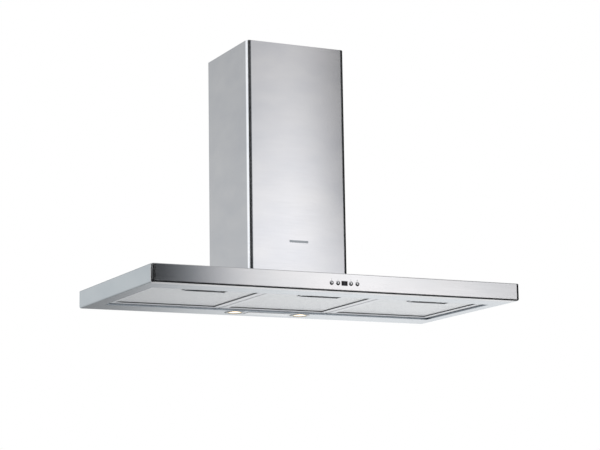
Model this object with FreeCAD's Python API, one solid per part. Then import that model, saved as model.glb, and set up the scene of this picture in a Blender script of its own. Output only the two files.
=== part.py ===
"""Wall-side kitchen range hood, 120 cm wide, modelled as separate pieces.

Design coordinates, millimetres: x = 0 is the middle of the hood, y = 0 is the wall
and -y points into the room, z = 0 is the underside of the canopy.  Every piece is
written in the part's own frame, which has the same axes and its origin in the wall
plane, at the centre of the four fixing holes.
"""
import FreeCAD, Part
import math
import os

V = FreeCAD.Vector

# ---------------------------------------------------------------- driving dimensions
# canopy
WIDTH = 1200.0
DEPTH = 600.0
CANOPY_HEIGHT = 53.0
SHEET = 1.0
CORNER_BEND = 12.0        # outer radius of the fascia's vertical bends
LOWER_BEND = 6.0          # outer radius along the bottom edge
TOP_BEND = 2.5            # outer radius along the top edge
FASCIA_RETURN = 14.0      # how far the fascia wraps round the sides
FASCIA_LIP = 34.0         # how far the fascia folds under the canopy
SIDE_LIP = 8.0            # how far the sides fold under the canopy
SEAM = 0.2                # gap between neighbouring sheets of the underside
JOGGLE_INSET = 20.0       # strip under the top seam, from the canopy's sides
JOGGLE_FRONT = 8.0
JOGGLE_REAR = 4.0
SEAM_OVERLAP = 14.0       # underside sheet lapping over the fascia's lip
SEAM_STRIP = 6.0          # width of that lapped strip inside the rim's edge
SIDE_OVERLAP = 1.5        # and over the sides' lips
# underside opening and filters
FRONT_RIM = 110.0
REAR_RIM = 103.0
SIDE_RIM = 45.0
FILTER_COUNT = 3
FILTER_RECESS = 5.0       # filter face above the underside
FILTER_THICKNESS = 9.0
FILTER_WALL = 1.2
FILTER_BORDER = 22.0
FILTER_SPACING = 3.0      # gap between two filters
FILTER_FRONT_GAP = 1.5
FILTER_REAR_GAP = 2.5
FILTER_ROUND = 3.0
FILTER_WALL_EXTRA = 0.5   # side wall beyond the rounding
FILTER_CORNER = 4.0
MESH_LAYERS = 3
MESH_SHEET = 0.8
UPSTAND_SHORTFALL = 1.0   # the walls round the opening end this far below a filter's top
BOLT_SLOT_ROOM = 3.0      # room at each side of a bolt or hook in the rim's slots
HOOK_SLOT_RISE = 3.8      # room above a hook, for the filter to swing
HOOK_LEVEL = 2.5          # underside of the hooks above a filter's face
TONGUE_OFFSET = 60.0      # hooks at the back of a filter, from its middle
TONGUE_WIDTH = 30.0
TONGUE_REACH = 8.0
TONGUE_PLAY = 1.0
# latch in each filter
LATCH_FROM_FRONT = 160.0
TRAY_LENGTH = 128.0
TRAY_WIDTH = 30.0
POCKET_LENGTH = 56.0
POCKET_WIDTH = 24.0
TRAY_DEPTH = 3.0
TRAY_FLANGE = 4.0         # edge of the tray that lies on the mesh
MESH_CUT_ROOM = 1.2       # mesh cut back round the tray
POCKET_ROOF = 0.4         # sheet over the finger pocket
LATCH_TRAVEL = 5.0
BOLT_WIDTH = 30.0
BOLT_THICKNESS = 1.5
BOLT_PLAY = 0.5
SLIDE_GAP = 0.2           # slider to the pocket's roof
BOLT_SHORTFALL = 0.4      # the bolt ends this far before the rim's wall
SLIDER_THICKNESS = 5.0
SLIDER_PLAY = 1.0
SLIDER_RECESS = 0.6       # thumb bar above the filter's face
SPRING_BLOCKED = 3.0      # length of a latch spring when it is fully pressed
SPRING_RADIUS = 2.0
SPRING_WALL = 0.5
SPRING_OFFSET = 18.0      # springs from the latch's middle
# controls
CONTROL_LEVEL = 24.0      # height of the button row
BUTTON_RADIUS = 6.25
BUTTON_PITCH = 21.0
BUTTON_PROUD = 3.0
BUTTON_TRAVEL = 1.5
BUTTON_GAP = 0.35
BUTTON_EDGE = 1.2         # rounding of the cap and width of its keeper
GUIDE_PLAY = 0.2
GUIDE_WALL = 1.5
GUIDE_DEPTH = 5.0
KEEPER_PLAY = 0.3
KEEPER_THICKNESS = 1.2
STEM_RADIUS = 2.5
WINDOW_WIDTH = 20.0
WINDOW_HEIGHT = 14.0
WINDOW_PLAY = 0.1
WINDOW_STEP = 2.0         # step round the window that seats in the housing
WINDOW_PROUD = 0.2
WINDOW_THICKNESS = 1.6    # of its step
HOUSING_DEPTH = 19.0
HOUSING_END = 20.0        # housing beyond the outer buttons
HOUSING_BELOW = 16.0
HOUSING_ABOVE = 18.0
HOUSING_WALL = 2.0
BOARD_SETBACK = 15.0      # circuit board's face behind the fascia's face
BOARD_THICKNESS = 1.6
SWITCH_HEIGHT = 2.9
SWITCH_HALF = 3.0
SWITCH_GAP = 0.2          # left between a pressed stem and its switch's end stop
DISPLAY_HALF_WIDTH = 8.0
DISPLAY_HALF_HEIGHT = 6.0
# lamps
LAMP_SPACING = 225.0
LAMP_FROM_OPENING = 36.0  # lamp's middle behind the filter opening
BEZEL_RADIUS = 32.5
BEZEL_FLANGE = 7.5        # flange outside the lens
BEZEL_COLLAR_INSET = 4.3  # collar's wall inside the flange's edge
COLLAR_PLAY = 0.3         # collar in the rim's lamp hole
BEZEL_PROUD = 1.5
BEZEL_BEVEL = 1.2
BEZEL_LEDGE = 2.0         # ledge under the lens's edge
BEZEL_COLLAR = 7.0
LENS_THICKNESS = 3.0
LENS_PLAY = 0.2
LAMP_CAN_INSET = 2.5      # lamp can's wall inside the bezel's edge
LAMP_CAN_WALL = 0.8
LAMP_CAN_HEIGHT = 30.0
SOCKET = (20.0, 14.0, 16.0)
SOCKET_SUNK = 6.0
CAPSULE_RADIUS = 4.5
CAPSULE_LENGTH = 13.0
CAPSULE_LEVEL = 11.0
CAPSULE_TIP = 3.5
LAMP_PIN_RADIUS = 1.0
LAMP_PIN_OFFSET = 2.0
LAMP_PIN_LENGTH = 5.0
LAMP_PIN_SUNK = 1.0       # start of a pin inside the glass
COVER_DEPTH = 48.0        # plate between the lamps
COVER_END_ROOM = 5.0
COVER_CORNER = 4.0
# blower
BOX_SIDE_ROOM = 42.5      # from the blower box to the chimney's outer face
BOX_FRONT_ROOM = 17.0
BOX_HEIGHT = 250.0
BOX_FLANGE = 10.0
INLET_MARGIN = 10.0       # air inlet inside the blower box's walls
FOOT_SCREW_FRONT = 55.0   # screws of the box's feet, from its front
FOOT_SCREW_REAR = 60.0    # and from the wall
FOOT_SCREW_HOLE = 2.5
FOOT_SCREW = (2.1, 8.0)   # radius and length
SCREW_HEAD = (1.9, 1.3)   # radius and height of a pan head, in screw radii
SCREW_HEAD_ROUND = 0.6
SCREW_SOCKET = 0.8
IMPELLER_RADIUS = 70.0
IMPELLER_WIDTH = 68.0
IMPELLER_DISC = 2.0
IMPELLER_RING = 13.0      # width of the stiffening ring
HUB_RADIUS = 12.0
BLADE_COUNT = 36
BLADE_DEPTH = 11.5
BLADE_TIP_ROOM = 0.5
BLADE_THICKNESS = 1.2
BLADE_LEAN = 30.0
VOLUTE_CLEARANCE = 10.0   # impeller to the scroll's smallest radius
VOLUTE_STEP = 10.0        # growth of the radius at each quarter turn
SCROLL_SIDE_ROOM = 9.0    # impeller to the scroll's side face
SCROLL_WALL = 2.0
SCROLL_FLANGE = 6.0
SCROLL_FLANGE_THICKNESS = 2.0
THROAT_CUT = 5.0          # the throat's cut past the scroll's top
SCROLL_REAR_ROOM = 27.0   # scroll to the box's back wall
SCROLL_FOOT_ROOM = 20.0   # scroll to the canopy's top
INLET_INSET = 14.0        # scroll's inlet inside the impeller's edge
BELL_LENGTH = 8.0
BELL_WALL = 4.0
MOTOR_HOLE_RADIUS = 30.0
SHAFT_RADIUS = 4.0
MOTOR_RADIUS = 42.0
MOTOR_END_ROOM = 19.0
MOTOR_EDGE = 4.0
MOTOR_PLATE = 2.0         # thickness of the bracket between scroll and motor
MOTOR_PLATE_RIM = 6.0
MOTOR_PLATE_HOLE = 9.0
SHAFT_IN_MOTOR = 20.0
TERMINAL = (16.0, 14.0, 12.0)
TERMINAL_DROP = 8.0       # terminal block below the motor
CAPACITOR_RADIUS = 15.0
CAPACITOR_LENGTH = 55.0
CAPACITOR_DROP = 75.0     # its foot below the box's top
CAPACITOR_SIDE_ROOM = 30.0
STRAP_WALL = 1.5
STRAP_SUNK = 0.5          # strap's round from the box's back wall
STRAP_DROP = 52.0
STRAP_HEIGHT = 10.0
STRAP_HALF = 22.0
# duct collar and non-return flaps
COLLAR_RADIUS = 74.5
COLLAR_WALL = 2.0
COLLAR_HEIGHT = 50.0
COLLAR_FLANGE = 13.0
COLLAR_FLANGE_THICKNESS = 2.0
COLLAR_SCREW_RING = 7.5   # ring of screws outside the collar
COLLAR_SCREW_HOLE = 2.0
COLLAR_SCREW = (1.7, 7.0)
SEAT_WIDTH = 2.5          # ledge that the flaps rest on
SEAT_THICKNESS = 2.0
SEAT_GAP = 0.2
FLAP_PIN_RADIUS = 2.0
FLAP_PIN_RISE = 15.0
FLAP_THICKNESS = 1.5
FLAP_EDGE_GAP = 1.0
FLAP_KNUCKLE_RADIUS = 3.6
FLAP_KNUCKLE_LENGTH = 28.0
FLAP_KNUCKLE_PITCH = 30.0
FLAP_KNUCKLE_ROOM = 0.8
RUNNING_GAP = 0.05
# wall plate
PLATE_THICKNESS = 2.0
PLATE_RISE = 27.0         # bottom edge above the canopy top
PLATE_HEIGHT = 226.0
FIX_EDGE_X = 12.0         # fixing hole from the plate's side edge
FIX_EDGE_Z = 30.0         # and from its top or bottom edge
FIX_HOLE_RADIUS = 4.0
PLATE_CORNER = 6.0
PLATE_SIDE_ROOM = 3.5     # plate to the chimney's hem
# chimney
CHIMNEY_WIDTH = 335.0
CHIMNEY_DEPTH = 302.0
CHIMNEY_HEIGHT = 762.0
CHIMNEY_BEND = 14.0
CHIMNEY_HEM = 12.0        # inward fold along the wall
CHIMNEY_GAP = 1.0         # between the two telescoping sections
UPPER_RISE = 19.0         # bottom of the upper section above the canopy top
UPPER_HEIGHT = 738.0
UPPER_FROM_WALL = 2.5
CHIMNEY_FOOT = 9.0        # foot folded inwards on the canopy
CHIMNEY_FOOT_ROOM = 60.0  # foot to the chimney's front and to the wall
PAD_ROOM = 70.0           # guide pads from the chimney's front and from the wall
PAD_HALF = 15.0
PAD_DROP = 60.0
PAD_HEIGHT = 40.0
PAD_PLAY = 0.3
REST_LENGTH = 40.0
REST_DEPTH = 8.0
REST_HEIGHT = 12.0
BRACKET_REACH = 50.0
BRACKET_HEIGHT = 30.0
BRACKET_THICKNESS = 2.0
BRACKET_DROP = 10.0       # bracket's top below the upper section's top
BRACKET_PLAY = 0.3
BRACKET_HOLE_RADIUS = 3.0
BRACKET_HOLE_SPACING = 220.0
# electrics
POWER_BOX = (140.0, 60.0, 38.0)
POWER_BOX_X = -190.0
POWER_BOX_ROOM = 10.0     # power box to the filter opening
POWER_BOX_WALL = 2.0
POWER_BOX_ROOF = 1.0
POWER_BOX_LID = 2.0
BOARD_RISE = 6.0
RELAY = (15.0, 20.0, 15.0)
RELAY_COUNT = 4
RELAY_PITCH = 22.0
RELAY_START = -45.0
TERMINAL_STRIP = (16.0, 44.0, 10.0)
TERMINAL_STRIP_X = 45.0
TRANSFORMER = (100.0, 60.0, 36.0)
TRANSFORMER_FROM_LAMP = 131.0
TRANSFORMER_BEHIND_LAMP = 7.0
TRANSFORMER_CORNER = 3.0
EAR_LENGTH = 10.0
EAR_WIDTH = 20.0
EAR_THICKNESS = 2.0
EAR_HOLE = 2.2
LEAD_RADIUS = 2.5
LEAD_LEVELS = (32.0, 34.0, 38.0)
LEAD_UNDER_TOP = 6.0      # leads under the canopy's top sheet
CONTROL_LEAD_X = -30.0
MOTOR_LEAD_OFFSET = 40.0
GLAND_BORE_RADIUS = 3.5
GLAND_THREAD_RADIUS = 8.0
GLAND_FLATS = 19.0
GLAND_HEXAGON = 6.0
GLAND_DOME = 12.0
GLAND_DOME_FOOT = 8.5
GLAND_DOME_TOP = 6.5
GLAND_TAIL = 10.0         # thread below the canopy's top sheet
GLAND_SIDE_ROOM = 12.0    # gland's axis to the blower box's foot
GLAND_FROM_WALL = 30.0
NUT_RADIUS = 10.5
NUT_HEIGHT = 5.0
THREAD_PLAY = 0.1
CUT = 1.0                 # how far a cut runs past the face it opens

# ---------------------------------------------------------------- worked-out levels
CANOPY_TOP = CANOPY_HEIGHT
CEILING = CANOPY_TOP - SHEET
FRONT = -DEPTH
OPENING_FRONT = FRONT + FRONT_RIM
OPENING_REAR = -REAR_RIM
OPENING_HALF = WIDTH / 2 - SIDE_RIM
FILTER_PITCH = (2 * OPENING_HALF) / FILTER_COUNT
FILTER_WIDTH = FILTER_PITCH - FILTER_SPACING
FILTER_FRONT = OPENING_FRONT + FILTER_FRONT_GAP
FILTER_REAR = OPENING_REAR - FILTER_REAR_GAP
FILTER_TOP = FILTER_RECESS + FILTER_THICKNESS
UPSTAND = FILTER_TOP - UPSTAND_SHORTFALL
MESH_BOTTOM = FILTER_RECESS + FILTER_WALL
MESH_TOP = FILTER_TOP - FILTER_WALL
FILTER_WALL_DEPTH = FILTER_ROUND + FILTER_WALL_EXTRA
PIVOT_Z = FILTER_RECESS + HOOK_LEVEL
LATCH_Y = FRONT + LATCH_FROM_FRONT
SPRING_LENGTH = LATCH_TRAVEL + SPRING_BLOCKED
LAMP_Y = OPENING_REAR + LAMP_FROM_OPENING
LENS_RADIUS = BEZEL_RADIUS - BEZEL_FLANGE
BEZEL_COLLAR_RADIUS = BEZEL_RADIUS - BEZEL_COLLAR_INSET
LAMP_CAN_RADIUS = BEZEL_RADIUS - LAMP_CAN_INSET
UPPER_HALF = CHIMNEY_WIDTH / 2 - SHEET - CHIMNEY_GAP
PLATE_HALF = CHIMNEY_WIDTH / 2 - CHIMNEY_HEM - PLATE_SIDE_ROOM
PLATE_BOTTOM = CANOPY_TOP + PLATE_RISE
FIX_LEVEL = PLATE_BOTTOM + PLATE_HEIGHT / 2
BOX_HALF = CHIMNEY_WIDTH / 2 - BOX_SIDE_ROOM
BOX_FRONT = -CHIMNEY_DEPTH + BOX_FRONT_ROOM
BOX_TOP = CANOPY_TOP + BOX_HEIGHT
VOLUTE_START = IMPELLER_RADIUS + VOLUTE_CLEARANCE
SCROLL_HALF = IMPELLER_WIDTH / 2 + SCROLL_SIDE_ROOM
SCROLL_Z = CANOPY_TOP + SCROLL_FOOT_ROOM + VOLUTE_START + 1.5 * VOLUTE_STEP
SCROLL_Y = -(PLATE_THICKNESS + SHEET + SCROLL_REAR_ROOM + VOLUTE_START + VOLUTE_STEP / 2)
DUCT_Y = SCROLL_Y - (VOLUTE_START + 2 * VOLUTE_STEP) / 2
MOTOR_START = SCROLL_HALF + MOTOR_PLATE
MOTOR_END = BOX_HALF - SHEET - MOTOR_END_ROOM
FLAP_Z = BOX_TOP + FLAP_PIN_RISE
COLLAR_BORE = COLLAR_RADIUS - COLLAR_WALL


# ---------------------------------------------------------------- small helpers
def box(x0, x1, y0, y1, z0, z1):
    """Block between two corners."""
    return Part.makeBox(x1 - x0, y1 - y0, z1 - z0, V(x0, y0, z0))


def block(x, y, z0, size):
    """Block centred on (x, y), standing on z0."""
    return box(x - size[0] / 2, x + size[0] / 2, y - size[1] / 2, y + size[1] / 2, z0, z0 + size[2])


def rod(radius, start, direction, length):
    """Cylinder from a start point."""
    return Part.makeCylinder(radius, length, V(*start), V(*direction))


def tube(outer, inner, start, direction, length):
    """Hollow cylinder."""
    return rod(outer, start, direction, length).cut(rod(inner, start, direction, length))


def frame_ring(x0, x1, y0, y1, z0, z1, wall):
    """Rectangular ring with walls of one thickness."""
    inner = box(x0 + wall, x1 - wall, y0 + wall, y1 - wall, z0, z1)
    return box(x0, x1, y0, y1, z0, z1).cut(inner)


def edges_where(shape, test):
    """Edges whose every vertex passes the test."""
    return [edge for edge in shape.Edges if all(test(vertex.Point) for vertex in edge.Vertexes)]


def near(a, b):
    """Equal within a micrometre."""
    return abs(a - b) < 1e-3


def upright(edge):
    """True for a vertical straight edge."""
    a, b = edge.Vertexes[0].Point, edge.Vertexes[-1].Point
    return near(a.x, b.x) and near(a.y, b.y) and not near(a.z, b.z)


def export(name, *solids):
    """Write one piece, moved so that the fixing holes' centre is the origin."""
    shape = solids[0] if len(solids) == 1 else Part.makeCompound(list(solids))
    shape = shape.copy()
    shape.translate(V(0, 0, -FIX_LEVEL))
    shape.exportStep("parts/%s.step" % name)


def lead(points, radius=LEAD_RADIUS):
    """Round lead through the points: straight runs joined by tangent arcs."""
    corners = [V(*p) for p in points]
    edges = []
    last = corners[0]
    for before, here, after in zip(corners, corners[1:], corners[2:]):
        into = (here - before).normalize()
        out = (after - here).normalize()
        turn = into.getAngle(out)
        reach = 0.45 * min((here - before).Length, (after - here).Length)
        start = here - into * reach
        end = here + out * reach
        bend = reach / math.tan(turn / 2)
        middle = here + (out - into).normalize() * (bend / math.cos(turn / 2) - bend)
        edges.append(Part.makeLine(last, start))
        edges.append(Part.Arc(start, middle, end).toShape())
        last = end
    edges.append(Part.makeLine(last, corners[-1]))
    path = Part.Wire(edges)
    section = Part.Wire(Part.makeCircle(radius, corners[0], corners[1] - corners[0]))
    return path.makePipeShell([section], True, False)


# ---------------------------------------------------------------- canopy
def canopy_form(inset):
    """Outer form of the whole canopy, shrunk by inset: every folded edge is rounded."""
    form = box(-WIDTH / 2 + inset, WIDTH / 2 - inset, FRONT + inset, -inset, inset, CANOPY_TOP - inset)
    corners = [e for e in form.Edges if upright(e) and near(e.Vertexes[0].Y, FRONT + inset)]
    form = form.makeFillet(CORNER_BEND - inset, corners)
    low = edges_where(form, lambda p: near(p.z, inset))
    form = form.makeFillet(LOWER_BEND - inset, [e for e in low if not on_wall_side(e, inset)])
    high = edges_where(form, lambda p: near(p.z, CANOPY_TOP - inset))
    return form.makeFillet(TOP_BEND - inset, [e for e in high if not on_wall_side(e, inset)])


def on_wall_side(edge, inset):
    """True for an edge that lies along the wall."""
    return all(near(vertex.Point.y, -inset) for vertex in edge.Vertexes)


def canopy_sheet():
    """The canopy's folded skin before it is parted into fascia and shell."""
    return canopy_form(0).cut(canopy_form(SHEET))


def front_fascia(skin):
    """Front face with both vertical bends and the lip folded under the canopy."""
    seam = FRONT + FASCIA_RETURN
    front = skin.common(box(-WIDTH, WIDTH, FRONT - CUT, seam, -CUT, CANOPY_TOP + CUT))
    half = WIDTH / 2 - SIDE_LIP - SEAM
    lip = box(-half, half, seam, FRONT + FASCIA_LIP, 0, SHEET)
    fascia = front.fuse(lip).removeSplitter()
    for x in button_places():
        hole = rod(BUTTON_RADIUS + BUTTON_GAP, (x, FRONT - CUT, CONTROL_LEVEL), (0, 1, 0), SHEET + 2 * CUT)
        fascia = fascia.cut(hole)
    opening = (WINDOW_WIDTH, 2 * (SHEET + CUT), WINDOW_HEIGHT)
    return fascia.cut(block(0, FRONT, CONTROL_LEVEL - WINDOW_HEIGHT / 2, opening))


def blower_screw_places():
    """Where the blower box's bottom flange is screwed to the canopy."""
    x = BOX_HALF + BOX_FLANGE / 2
    return [(side * x, y) for side in (-1, 1) for y in (BOX_FRONT + FOOT_SCREW_FRONT, -FOOT_SCREW_REAR)]


def gland_place():
    """Mains gland, beside the blower box and inside the chimney."""
    return BOX_HALF + BOX_FLANGE + GLAND_SIDE_ROOM, -GLAND_FROM_WALL


def canopy_shell(skin):
    """Top, sides and back of the canopy, with the air inlet cut in the top."""
    seam = FRONT + FASCIA_RETURN
    shell = skin.common(box(-WIDTH, WIDTH, seam, CUT, -CUT, CANOPY_TOP + CUT))
    half = WIDTH / 2 - SIDE_LIP
    shell = shell.cut(box(-half, half, seam - CUT, -SHEET, -CUT, SHEET))
    strip = WIDTH / 2 - JOGGLE_INSET
    joggle = box(-strip, strip, seam - JOGGLE_FRONT, seam + JOGGLE_REAR, CEILING - SHEET, CEILING)
    shell = shell.fuse(joggle).removeSplitter()
    inlet_half = BOX_HALF - INLET_MARGIN
    inlet = box(-inlet_half, inlet_half, BOX_FRONT + INLET_MARGIN, -PLATE_THICKNESS - INLET_MARGIN,
                CEILING - CUT, CANOPY_TOP + CUT)
    shell = shell.cut(inlet)
    for x, y in blower_screw_places():
        shell = shell.cut(rod(FOOT_SCREW_HOLE, (x, y, CEILING - CUT), (0, 0, 1), SHEET + 2 * CUT))
    x, y = gland_place()
    return shell.cut(rod(GLAND_THREAD_RADIUS, (x, y, CEILING - CUT), (0, 0, 1), SHEET + 2 * CUT))


def underside_frame():
    """Rim of the underside: a folded tray with the filter opening and lamp holes."""
    half = WIDTH / 2 - SIDE_LIP - SEAM
    front = FRONT + FASCIA_LIP + SEAM
    rear = -SHEET - SEAM
    rim = box(-half, half, front, rear, 0, SHEET)
    rim = rim.fuse(frame_ring(-half, half, front, rear, 0, UPSTAND - SHEET, SHEET))
    side = half + SIDE_OVERLAP
    overlap = box(-side, side, front - SEAM_OVERLAP, rear, SHEET, 2 * SHEET)
    inner = half - SEAM_STRIP
    rim = rim.fuse(overlap.cut(box(-inner, inner, front + SEAM_STRIP, rear - SEAM_STRIP, 0, 3 * SHEET)))
    x, y0, y1 = OPENING_HALF, OPENING_FRONT, OPENING_REAR
    rim = rim.fuse(box(-x - SHEET, x + SHEET, y0 - SHEET, y1 + SHEET, 0, UPSTAND))
    rim = rim.cut(box(-x, x, y0, y1, -CUT, UPSTAND + CUT)).removeSplitter()
    for lamp_x in (-LAMP_SPACING / 2, LAMP_SPACING / 2):
        radius = BEZEL_COLLAR_RADIUS + COLLAR_PLAY
        rim = rim.cut(rod(radius, (lamp_x, LAMP_Y, -CUT), (0, 0, 1), 2 * SHEET + 2 * CUT))
    for middle in filter_places():
        reach = BOLT_WIDTH / 2 + BOLT_SLOT_ROOM
        bolt = box(middle - reach, middle + reach, y0 - SHEET - CUT, y0 + CUT,
                   MESH_TOP - BOLT_THICKNESS - 2 * BOLT_PLAY, MESH_TOP)
        rim = rim.cut(bolt)
        reach = TONGUE_WIDTH / 2 + BOLT_SLOT_ROOM
        for x in (middle - TONGUE_OFFSET, middle + TONGUE_OFFSET):
            slot = box(x - reach, x + reach, y1 - CUT, y1 + SHEET + CUT,
                       PIVOT_Z - TONGUE_PLAY, PIVOT_Z + FILTER_WALL + HOOK_SLOT_RISE)
            rim = rim.cut(slot)
    return rim


# ---------------------------------------------------------------- filters
def filter_places():
    """Middle of each filter along x."""
    first = -OPENING_HALF + FILTER_PITCH / 2
    return [first + n * FILTER_PITCH for n in range(FILTER_COUNT)]


def filter_frame(middle):
    """Rounded channel frame with two hooks at the back and a bolt slot in front."""
    x0, x1 = middle - FILTER_WIDTH / 2, middle + FILTER_WIDTH / 2
    frame = box(x0, x1, FILTER_FRONT, FILTER_REAR, FILTER_RECESS, FILTER_TOP)
    frame = frame.makeFillet(FILTER_CORNER, [e for e in frame.Edges if upright(e)])
    frame = frame.makeFillet(FILTER_ROUND, edges_where(frame, lambda p: near(p.z, FILTER_RECESS)))
    wall = FILTER_WALL_DEPTH
    y0, y1 = FILTER_FRONT + wall, FILTER_REAR - wall
    frame = frame.cut(box(x0 + wall, x1 - wall, y0, y1, MESH_BOTTOM, MESH_TOP))
    rim = FILTER_BORDER
    frame = frame.cut(box(x0 + rim, x1 - rim, FILTER_FRONT + rim, FILTER_REAR - rim, 0, FILTER_TOP + CUT))
    frame = frame.cut(bolt_passage(middle))
    for x in (middle - TONGUE_OFFSET, middle + TONGUE_OFFSET):
        half = TONGUE_WIDTH / 2
        hook = box(x - half, x + half, FILTER_REAR - CUT, FILTER_REAR + TONGUE_REACH,
                   PIVOT_Z, PIVOT_Z + FILTER_WALL)
        frame = frame.fuse(hook)
    return frame.removeSplitter()


def bolt_passage(middle):
    """Room for the latch bolt from the pocket to the front of the filter."""
    half = BOLT_WIDTH / 2 + BOLT_PLAY
    low = MESH_TOP - BOLT_THICKNESS - BOLT_PLAY
    return box(middle - half, middle + half, FILTER_FRONT - CUT, LATCH_Y, low, MESH_TOP)


def filter_mesh(middle):
    """Three mesh layers held in the frame's channel, cut out round the latch."""
    wall = FILTER_WALL_DEPTH
    x0, x1 = middle - FILTER_WIDTH / 2 + wall, middle + FILTER_WIDTH / 2 - wall
    room = 2 * MESH_CUT_ROOM
    tray = block(middle, LATCH_Y, 0, (TRAY_LENGTH + room, TRAY_WIDTH + room, FILTER_TOP + CUT))
    layers = []
    for n in range(MESH_LAYERS):
        low = MESH_BOTTOM + n * (MESH_TOP - MESH_BOTTOM - MESH_SHEET) / (MESH_LAYERS - 1)
        layer = box(x0, x1, FILTER_FRONT + wall, FILTER_REAR - wall, low, low + MESH_SHEET)
        layers.append(layer.cut(tray).cut(bolt_passage(middle)))
    return layers


def latch_cup(middle):
    """Pressed tray with a deeper finger pocket in its middle."""
    edge = 2 * TRAY_FLANGE
    flange = block(middle, LATCH_Y, MESH_BOTTOM - SHEET, (TRAY_LENGTH + edge, TRAY_WIDTH + edge, SHEET))
    tray_top = MESH_BOTTOM + TRAY_DEPTH
    wall = 2 * SHEET
    body = block(middle, LATCH_Y, MESH_BOTTOM, (TRAY_LENGTH + wall, TRAY_WIDTH + wall, TRAY_DEPTH))
    depth = MESH_TOP - MESH_BOTTOM
    pocket = block(middle, LATCH_Y, MESH_BOTTOM, (POCKET_LENGTH + wall, POCKET_WIDTH + wall, depth))
    cup = flange.fuse(body).fuse(pocket)
    cup = cup.cut(block(middle, LATCH_Y, 0, (TRAY_LENGTH, TRAY_WIDTH, tray_top - SHEET)))
    cup = cup.cut(block(middle, LATCH_Y, 0, (POCKET_LENGTH, POCKET_WIDTH, MESH_TOP - POCKET_ROOF)))
    low = MESH_TOP - POCKET_ROOF - BOLT_THICKNESS - SLIDE_GAP
    passage = block(middle, LATCH_Y - POCKET_WIDTH / 2, low,
                    (BOLT_WIDTH + 2 * BOLT_PLAY, 6 * SHEET, BOLT_THICKNESS + SLIDE_GAP))
    return cup.cut(passage).removeSplitter()


def latch_slider(middle):
    """Thumb bar in the pocket with its flat bolt running to the front."""
    front = LATCH_Y + POCKET_WIDTH / 2 - SPRING_LENGTH - SLIDER_THICKNESS
    top = MESH_TOP - POCKET_ROOF - SLIDE_GAP
    half = POCKET_LENGTH / 2 - SLIDER_PLAY
    low = FILTER_RECESS + SLIDER_RECESS
    bar = box(middle - half, middle + half, front, front + SLIDER_THICKNESS, low, top)
    half = BOLT_WIDTH / 2
    tip = OPENING_FRONT + BOLT_SHORTFALL
    bolt = box(middle - half, middle + half, tip, front + CUT, top - BOLT_THICKNESS + SLIDE_GAP, top)
    return bar.fuse(bolt).removeSplitter()


def latch_springs(middle):
    """Pair of small compression springs behind the slider, as closed sleeves."""
    start = LATCH_Y + POCKET_WIDTH / 2 - SPRING_LENGTH
    level = (FILTER_RECESS + MESH_TOP) / 2
    bore = SPRING_RADIUS - SPRING_WALL
    return [tube(SPRING_RADIUS, bore, (middle + x, start, level), (0, 1, 0), SPRING_LENGTH)
            for x in (-SPRING_OFFSET, SPRING_OFFSET)]


# ---------------------------------------------------------------- controls
def button_places():
    """Two buttons each side of the display window."""
    return [-2 * BUTTON_PITCH, -BUTTON_PITCH, BUTTON_PITCH, 2 * BUTTON_PITCH]


def button_cap(x):
    """Domed cap, stem and the collar that keeps it in its guide."""
    start = FRONT - BUTTON_PROUD
    keeper_face = FRONT + SHEET + GUIDE_DEPTH + KEEPER_PLAY
    stem_end = FRONT + BOARD_SETBACK - SWITCH_HEIGHT - BUTTON_TRAVEL - SWITCH_GAP
    length = keeper_face + KEEPER_THICKNESS / 2 - start
    skirt = rod(BUTTON_RADIUS, (x, start, CONTROL_LEVEL), (0, 1, 0), length)
    skirt = skirt.makeFillet(BUTTON_EDGE, edges_where(skirt, lambda p: near(p.y, start)))
    keeper = rod(BUTTON_RADIUS + BUTTON_EDGE, (x, keeper_face, CONTROL_LEVEL), (0, 1, 0), KEEPER_THICKNESS)
    stem = rod(STEM_RADIUS, (x, keeper_face, CONTROL_LEVEL), (0, 1, 0), stem_end - keeper_face)
    return skirt.fuse(keeper).fuse(stem).removeSplitter()


def housing_half():
    """Half length of the control housing."""
    return 2 * BUTTON_PITCH + HOUSING_END


def control_housing():
    """Open-backed moulding behind the fascia with one guide for each button."""
    half = housing_half()
    front = FRONT + SHEET
    low, high = CONTROL_LEVEL - HOUSING_BELOW, CONTROL_LEVEL + HOUSING_ABOVE
    wall = HOUSING_WALL
    rear = front + HOUSING_DEPTH
    body = box(-half, half, front, rear, low, high)
    body = body.cut(box(-half + wall, half - wall, front + wall, rear + CUT, low + wall, high - wall))
    bore = BUTTON_RADIUS + GUIDE_PLAY
    for x in button_places():
        body = body.fuse(rod(bore + GUIDE_WALL, (x, front, CONTROL_LEVEL), (0, 1, 0), GUIDE_DEPTH))
    for x in button_places():
        body = body.cut(rod(bore, (x, front - CUT, CONTROL_LEVEL), (0, 1, 0), GUIDE_DEPTH + 2 * CUT))
    step = WINDOW_STEP
    seat = block(0, front + wall / 2, CONTROL_LEVEL - WINDOW_HEIGHT / 2 - step,
                 (WINDOW_WIDTH + 2 * step, wall + 2 * CUT, WINDOW_HEIGHT + 2 * step))
    return body.cut(seat).removeSplitter()


def control_board():
    """Circuit board closing the housing, with a switch behind every button."""
    half = housing_half() - HOUSING_WALL
    face = FRONT + BOARD_SETBACK
    solids = [box(-half, half, face, face + BOARD_THICKNESS, CONTROL_LEVEL - HOUSING_BELOW + HOUSING_WALL,
                  CONTROL_LEVEL + HOUSING_ABOVE - HOUSING_WALL)]
    for x in button_places():
        solids.append(box(x - SWITCH_HALF, x + SWITCH_HALF, face - SWITCH_HEIGHT, face,
                          CONTROL_LEVEL - SWITCH_HALF, CONTROL_LEVEL + SWITCH_HALF))
    return solids


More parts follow.
